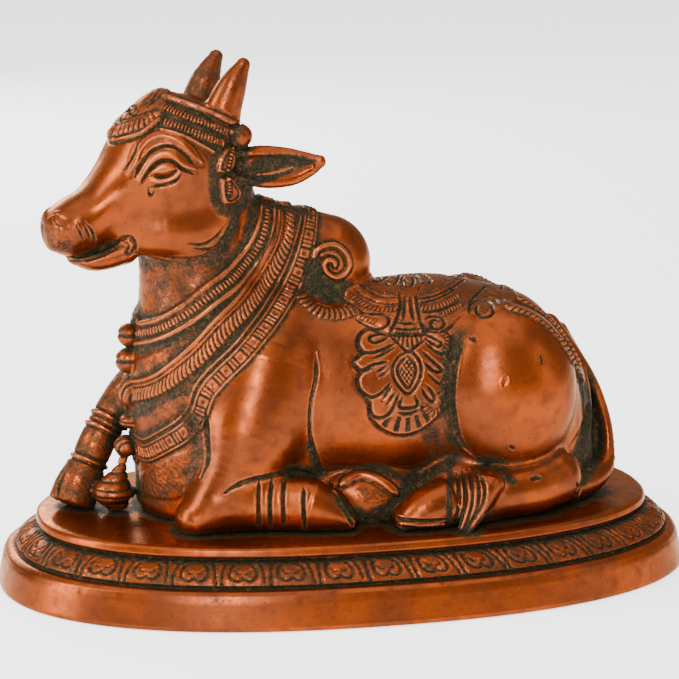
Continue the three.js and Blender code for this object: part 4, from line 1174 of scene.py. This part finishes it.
def chase_legs(skin):
    for line, half, dark, sides in PATINA_AND_SHADE_LINES:
        skin.draw(lines_of(line), half + 2, patina_shade_band(half, dark), sides=sides)
    for limb in (planted_leg, planted_hoof):
        index = np.where(limb.distance(skin.points) < 1.0)[0]
        skin.work(index, 0, 0, 0.5, smoothstep(52, 44, skin.points[index, 2]))
    # Painted shade, over patina, darkens the pit between the hock and the tail on the near side.
    skin.ground([TAIL_HOLLOW], (-0.8, 1.2), 0, 0, 0.95, sides=1)
    skin.draw(BODY_CREASES, 4, groove(0.85, 0.8, 0.85, 7))
    skin.draw(ELBOW_CREASES, 4, groove(1.1, 0.9, 0.95, 7), sides=1)
    skin.draw(ARM_EDGES, 4, groove(1.6, 1.2, 0.9, 8), sides=1)
    skin.draw(HOCK_EDGES, 4, groove(1.3, 1.1, 0.9, 4), sides=1)
    skin.draw(LEG_CUTS, 3, groove(0.85, 0.9), sides=1)
    skin.draw(HOOF_CUTS, 3, groove(0.85, 0.9))
    skin.draw(CLEFTS, 3, groove(0.9, 0.9), sides=1)
    leg = planted_leg
    for row in ANKLET_ROWS:
        wide, high = leg.half[row]
        across, deep = leg.across[row], leg.deep[row]
        ring = [leg.middle[row] + wide * math.cos(a) * across + high * math.sin(a) * deep
                for a in np.linspace(0, TURN, 25)]
        skin.follow(skin.settle(ring), 3, ridge(1.0, 0.7, 0.8))
    skin.draw(SOLE_CUTS, 2, ridge(0.8, 0.6))
    skin.draw(FOLD_LEAVES, 4, ridge(2.3, 1.3, 0.6, 2), sides=1)
    skin.ground([FOLD_LENS], (-0.6, 1.6), 0.35, 0, 0.45, sides=1)
    skin.draw(TUFT_CUTS, 2.5, groove(0.8, 1.0, 0.85), sides=1)
    for stroke, half, depth, dark in FLAWS:
        skin.draw(lines_of(stroke), 3, groove(half, depth, dark, 1), sides=1)


# Plinth: a superellipse in plan, in rows up its profile

PLINTH_LENGTH = 256.0
PLINTH_WIDTH = 155.0
OVAL_POWER = 2.3
PLINTH_COLUMNS = 1080
OVAL_STEPS = 20001
LEAF_COUNT = 36
LEAF_LEAN = 0.22
LEAF_BAND = 11.4
LEAF_INSET = 10
LEAF_GROUND_DARK = 0.36
LEAF_TOP_PAINTED_SHADOW = 0.85
FOOT_DARK = 0.2
LEAF_CUP = points_of("3.4,8.8 4.5,7.4 4.8,5.6 4.4,3.7 3.4,2.5 2.2,2 1,2.3 0.1,3.4")
LEAF_CURL = points_of("2.9,6.6 2.2,5.2 1.2,5")
LEAF_STEM = points_of("7.5,0.2 7.4,3.2 7,6.8 6.4,9.5")
# Profile: zone, inset, height and rows up to the next point, from the underside to the slab's top.
PROFILE = [
    ("rim", 0.7, 0.0, 1), ("rim", 0.1, 0.5, 8),
    ("foot", 2.0, 10.3, 4), ("foot", 2.9, 12.3, 3), ("foot", 4.2, 13.3, 2), ("foot", 5.2, 13.5, 2),
    ("groove", 6.6, 13.3, 2), ("groove", 7.4, 13.5, 2), ("groove", 6.9, 14.4, 2),
    ("leaf", 6.6, 15.0, 7), ("leaf", 8.0, 17.0, 7), ("leaf", 10.6, 19.0, 7), ("leaf", 13.6, 20.5, 7),
    ("groove", 16.2, 21.2, 2), ("groove", 16.4, 21.8, 2),
    ("slab", 14.6, 22.4, 2), ("slab", 14.1, 23.2, 4), ("slab", 14.5, 25.0, 3), ("slab", 15.2, 25.7, 3),
    ("top", 16.4, 26.0, 20), ("top", 50.0, 26.0, 0),
]


def bow(value):
    return np.sign(value) * np.abs(value) ** (2 / OVAL_POWER)


def plinth_rows():
    """Zone, inset and height, and share of the leaf band, for each row of the plinth."""
    rows = []
    for (zone, inset, z, count), (_, next_inset, next_z, _) in zip(PROFILE, PROFILE[1:]):
        for i in range(count):
            share = i / count
            rows.append((zone, inset + share * (next_inset - inset), z + share * (next_z - z)))
    rows.append((PROFILE[-1][0],) + PROFILE[-1][1:3])
    leaf = [i for i, row in enumerate(rows) if row[0] == "leaf"]
    band = np.clip((np.arange(len(rows)) - leaf[0]) / (leaf[-1] - leaf[0]), 0, 1)
    return [row[0] for row in rows], np.array([row[1:] for row in rows]), band


def leaf_lines(u, v):
    """Distance to the cut lines of one leaf: a double cup with a cusp below, and a bowed stem each side."""
    side = np.abs(u + LEAF_LEAN * (v - 5))
    cup, curl, stem = (path_distance(side, v, path) for path in (LEAF_CUP, LEAF_CURL, LEAF_STEM))
    return np.minimum(np.minimum(cup, stem), curl + 0.25)


def make_plinth(material):
    zones, rows, band = plinth_rows()
    fine = np.linspace(0, TURN, OVAL_STEPS)
    x = (PLINTH_LENGTH / 2 - LEAF_INSET) * bow(np.cos(fine))
    y = (PLINTH_WIDTH / 2 - LEAF_INSET) * bow(np.sin(fine))
    lengths = np.concatenate([[0], np.cumsum(np.hypot(np.diff(x), np.diff(y)))])
    around = lengths[-1] * np.arange(PLINTH_COLUMNS) / PLINTH_COLUMNS
    angle = np.interp(around, lengths, fine)
    inset, z = rows[:, :1], rows[:, 1:]
    index = np.arange(len(rows) * PLINTH_COLUMNS).reshape(len(rows), PLINTH_COLUMNS)
    x = (PLINTH_LENGTH / 2 - inset) * bow(np.cos(angle))
    y = (PLINTH_WIDTH / 2 - inset) * bow(np.sin(angle))
    points = np.stack([x, y, np.broadcast_to(z, index.shape)], -1)
    points = np.vstack([points.reshape(-1, 3), [[0, 0, 0], [0, 0, PLINTH_TOP]]])
    low, high, first, last = index[:-1], index[1:], index[0], index[-1]
    squares = np.stack([low, np.roll(low, -1, 1), np.roll(high, -1, 1), high], -1).reshape(-1, 4)
    triangles = np.vstack([triangles_of(squares),
                           columns(first, np.full_like(first, index.size), np.roll(first, -1)),
                           columns(last, np.roll(last, -1), np.full_like(last, index.size + 1))])
    # The relief of the leaves, and the patina in it, in the grooves and on the foot; painted shadow on the
    # top of the leaf band under the slab, and painted shade with patina round the bull.
    zone, band = np.array(zones)[:, None], band[:, None]
    pitch = lengths[-1] / LEAF_COUNT
    u = (around / pitch + 0.5) % 1 - 0.5
    line = leaf_lines(*np.broadcast_arrays(u * pitch, band * LEAF_BAND))
    cut = np.where(zone == "leaf", bump(line, 0.7), 0)
    # Painted shadow: the top of the leaf band darkens under the slab's overhang; the ground between the
    # leaves keeps its patina.
    shadow = np.maximum(LEAF_TOP_PAINTED_SHADOW * smoothstep(0.55, 0.85, band), LEAF_GROUND_DARK)
    dark = np.where(zone == "leaf", np.maximum(cut, shadow), 0)
    dark = np.where(zone == "foot", FOOT_DARK, np.where(zone == "groove", 1, dark))
    points = points + normals_of(points, triangles) * np.append(-0.7 * cut, [0, 0])[:, None]
    points[:, 2] = np.clip(points[:, 2], 0, None)
    # Painted shade with patina: the slab darkens within 6 mm of the bull.
    on_top = points[:, 2] > PLINTH_TOP - 1
    gap = np.full(len(points), FAR)
    gap[on_top] = bare_bull((points - [0, 0, PLINTH_TOP - 0.6])[on_top])
    dark = np.maximum(np.append(dark, [0, 0]), 1 - smoothstep(1.0, 6.0, gap))
    make_piece("plinth", points - [0, 0, PLINTH_TOP], triangles, dark, np.zeros(len(points)), material)


# The bull: skin, chasing, patina and painted shade, parted where the garlands hide the joins

SKIN_STEP = 0.8
BULL_BOX = ((-118, -64, -3), (112, 64, 170))
BUSY_RELIEF = 0.03
SPLIT_SHARE = 0.7
CAVITY_DEPTH = 0.35
SHADE_REACHES = (2.0, 5.0, 10.0)


def under(garland, first, last):
    """A cut line in x and z under a garland, run on past its ends."""
    return np.array([*first, *[(x, z) for x, y, z in reversed(garland)], *last]).T


HEAD_CUT = under(COLLAR[1:9], [(-78, 65.5)], [(-20, 118)])
DRESS_CUT = under(LINKS[2:12], [(-82, 10), (-81.9, 24)], [(-13, 112)])
HAUNCH_CUT = 19.0


def chased(skin):
    chase_garlands(skin)
    chase_string(skin)
    chase_head(skin)
    chase_back(skin)
    chase_legs(skin)
    return skin


def split_busy(points, triangles, busy, longest):
    """Halves the long edges that touch busy points, and keeps the mesh closed."""
    edges = np.sort(triangles[:, [[0, 1], [1, 2], [2, 0]]].reshape(-1, 2), 1)
    keys, where = np.unique(edges[:, 0] * len(points) + edges[:, 1], return_inverse=True)
    a, b = keys // len(points), keys % len(points)
    split = (busy[a] | busy[b]) & (length_of(points[a] - points[b]) > longest)
    new = np.full(len(keys), -1)
    new[split] = len(points) + np.arange(split.sum())
    points = np.vstack([points, (points[a[split]] + points[b[split]]) / 2])
    cut = new[where.reshape(-1, 3)]
    ways = (cut >= 0) @ [1, 2, 4]
    out = [triangles[ways == 0]]
    # With one edge cut a triangle becomes two, with two edges three, and with all three edges four.
    for turn in range(3):
        t, m = np.roll(triangles, -turn, 1), np.roll(cut, -turn, 1)
        w = (m >= 0) @ [1, 2, 4]
        (a, b, c), (p, _, _) = t[w == 1].T, m[w == 1].T
        out += [columns(a, p, c), columns(p, b, c)]
        (a, b, c), (p, q, _) = t[w == 3].T, m[w == 3].T
        out += [columns(p, b, q), columns(a, p, q), columns(a, q, c)]
    (a, b, c), (p, q, r) = triangles[ways == 7].T, cut[ways == 7].T
    out += [columns(a, p, r), columns(p, b, q), columns(r, q, c), columns(p, q, r)]
    return points, np.vstack(out)


def capped(points, triangles):
    """One region of the skin with its own points, each open loop closed across. Gives the points' old
    numbers and the triangles."""
    edges = triangles[:, [[0, 1], [1, 2], [2, 0]]].reshape(-1, 2)
    forward = edges[:, 0] * len(points) + edges[:, 1]
    backward = edges[:, 1] * len(points) + edges[:, 0]
    open_edges = edges[~np.isin(forward, backward)]
    follow = {}
    for a, b in open_edges:
        follow.setdefault(int(b), []).append(int(a))
    caps = []
    while follow:
        start = here = next(iter(follow))
        loop = []
        while not loop or here != start:
            loop.append(here)
            after = follow[here].pop()
            if not follow[here]:
                del follow[here]
            here = after
        places = points[loop]
        cap = np.array(tessellate_polygon([places.tolist()])).reshape(-1, 3)
        a, b, c = places[cap[:, 0]], places[cap[:, 1]], places[cap[:, 2]]
        facing = np.cross(b - a, c - a).sum(0) @ np.cross(places, np.roll(places, -1, 0)).sum(0)
        caps.append(np.array(loop)[cap if facing > 0 else cap[:, ::-1]])
    whole = np.vstack([triangles] + caps)
    used, renumbered = np.unique(whole, return_inverse=True)
    return used, renumbered.reshape(-1, 3)


def make_bull(material):
    points, squares = skin_of(bare_bull, *BULL_BOX, SKIN_STEP)
    triangles = triangles_of(squares)
    points = settled(bare_bull, points, triangles)
    tree = BVHTree.FromPolygons(points.tolist(), triangles.tolist())
    draft = chased(Skin(points, triangles, tree))
    busy = draft.raised + draft.cut > BUSY_RELIEF
    points, triangles = split_busy(points, triangles, busy, SPLIT_SHARE * SKIN_STEP)
    points = settled(bare_bull, points, triangles, rounds=1)
    skin = chased(Skin(points, triangles, tree))
    # Wear and painted shade: patina stays in cut lines and hollows, painted shade darkens the skin where
    # the bull's own forms close in over it and, with patina, near the slab, and ridges that stand out are
    # rubbed.
    height = skin.raised - skin.cut
    average = averager(len(points), triangles)
    around = height
    for _ in range(7):
        around = average(around)
    cavity = np.clip((around - height) / CAVITY_DEPTH, 0, 1)
    rubbed = smoothstep(0.05, 0.3, height - around)
    # Painted shade: darker where the bull's own field lies close above the skin at 2, 5 and 10 mm.
    shade = np.zeros(len(points))
    for reach in SHADE_REACHES:
        shade += np.clip(1 - bare_bull(points + skin.normals * reach) / reach, 0, 1) / 3
    # Painted shade with patina: darker within 3 mm of the slab.
    contact = 1 - smoothstep(0.5, 3, points[:, 2])
    recess = np.maximum.reduce([skin.dark, 0.8 * cavity, smoothstep(0.2, 0.75, shade), contact])
    crust = noise(points, 0.8, 3) * (0.05 + 0.14 * skin.dark) * (skin.dark > 0.3)
    placed = points + skin.normals * (height + crust)[:, None]
    normals = normals_of(placed, triangles)
    middle = placed[triangles].mean(1)
    x, z = middle[:, 0], middle[:, 2]
    above_collar, above_links = (z > np.interp(x, *cut) for cut in (HEAD_CUT, DRESS_CUT))
    rest, behind = ~above_collar & ~above_links, x > HAUNCH_CUT
    regions = {"head": above_collar, "neck_and_chest": ~above_collar & above_links,
               "shoulders_and_back": rest & ~behind, "haunches_and_tail": rest & behind}
    for name, mine in regions.items():
        used, own = capped(placed, triangles[mine])
        make_piece(name, placed[used], own, recess[used], rubbed[used], material, normals[used])


place_camera()
set_world()
make_floor(pale_floor())
soft_light("left_softbox", -85, 20, 1.1, (0.4, 1.1), 18)
soft_light("front_softbox", -20, 27, 1.4, (0.3, 1.1), 25)
soft_light("right_softbox", 62, 20, 1.4, (0.5, 1.0), 3)
soft_light("back_softbox", 192, 18, 1.3, (0.7, 0.3), 12)
soft_light("overhead_softbox", 0, 88, 2.4, (3.0, 3.0), 60)
cast_brass = lacquered_cast_brass()
make_bull(cast_brass)
make_plinth(cast_brass)
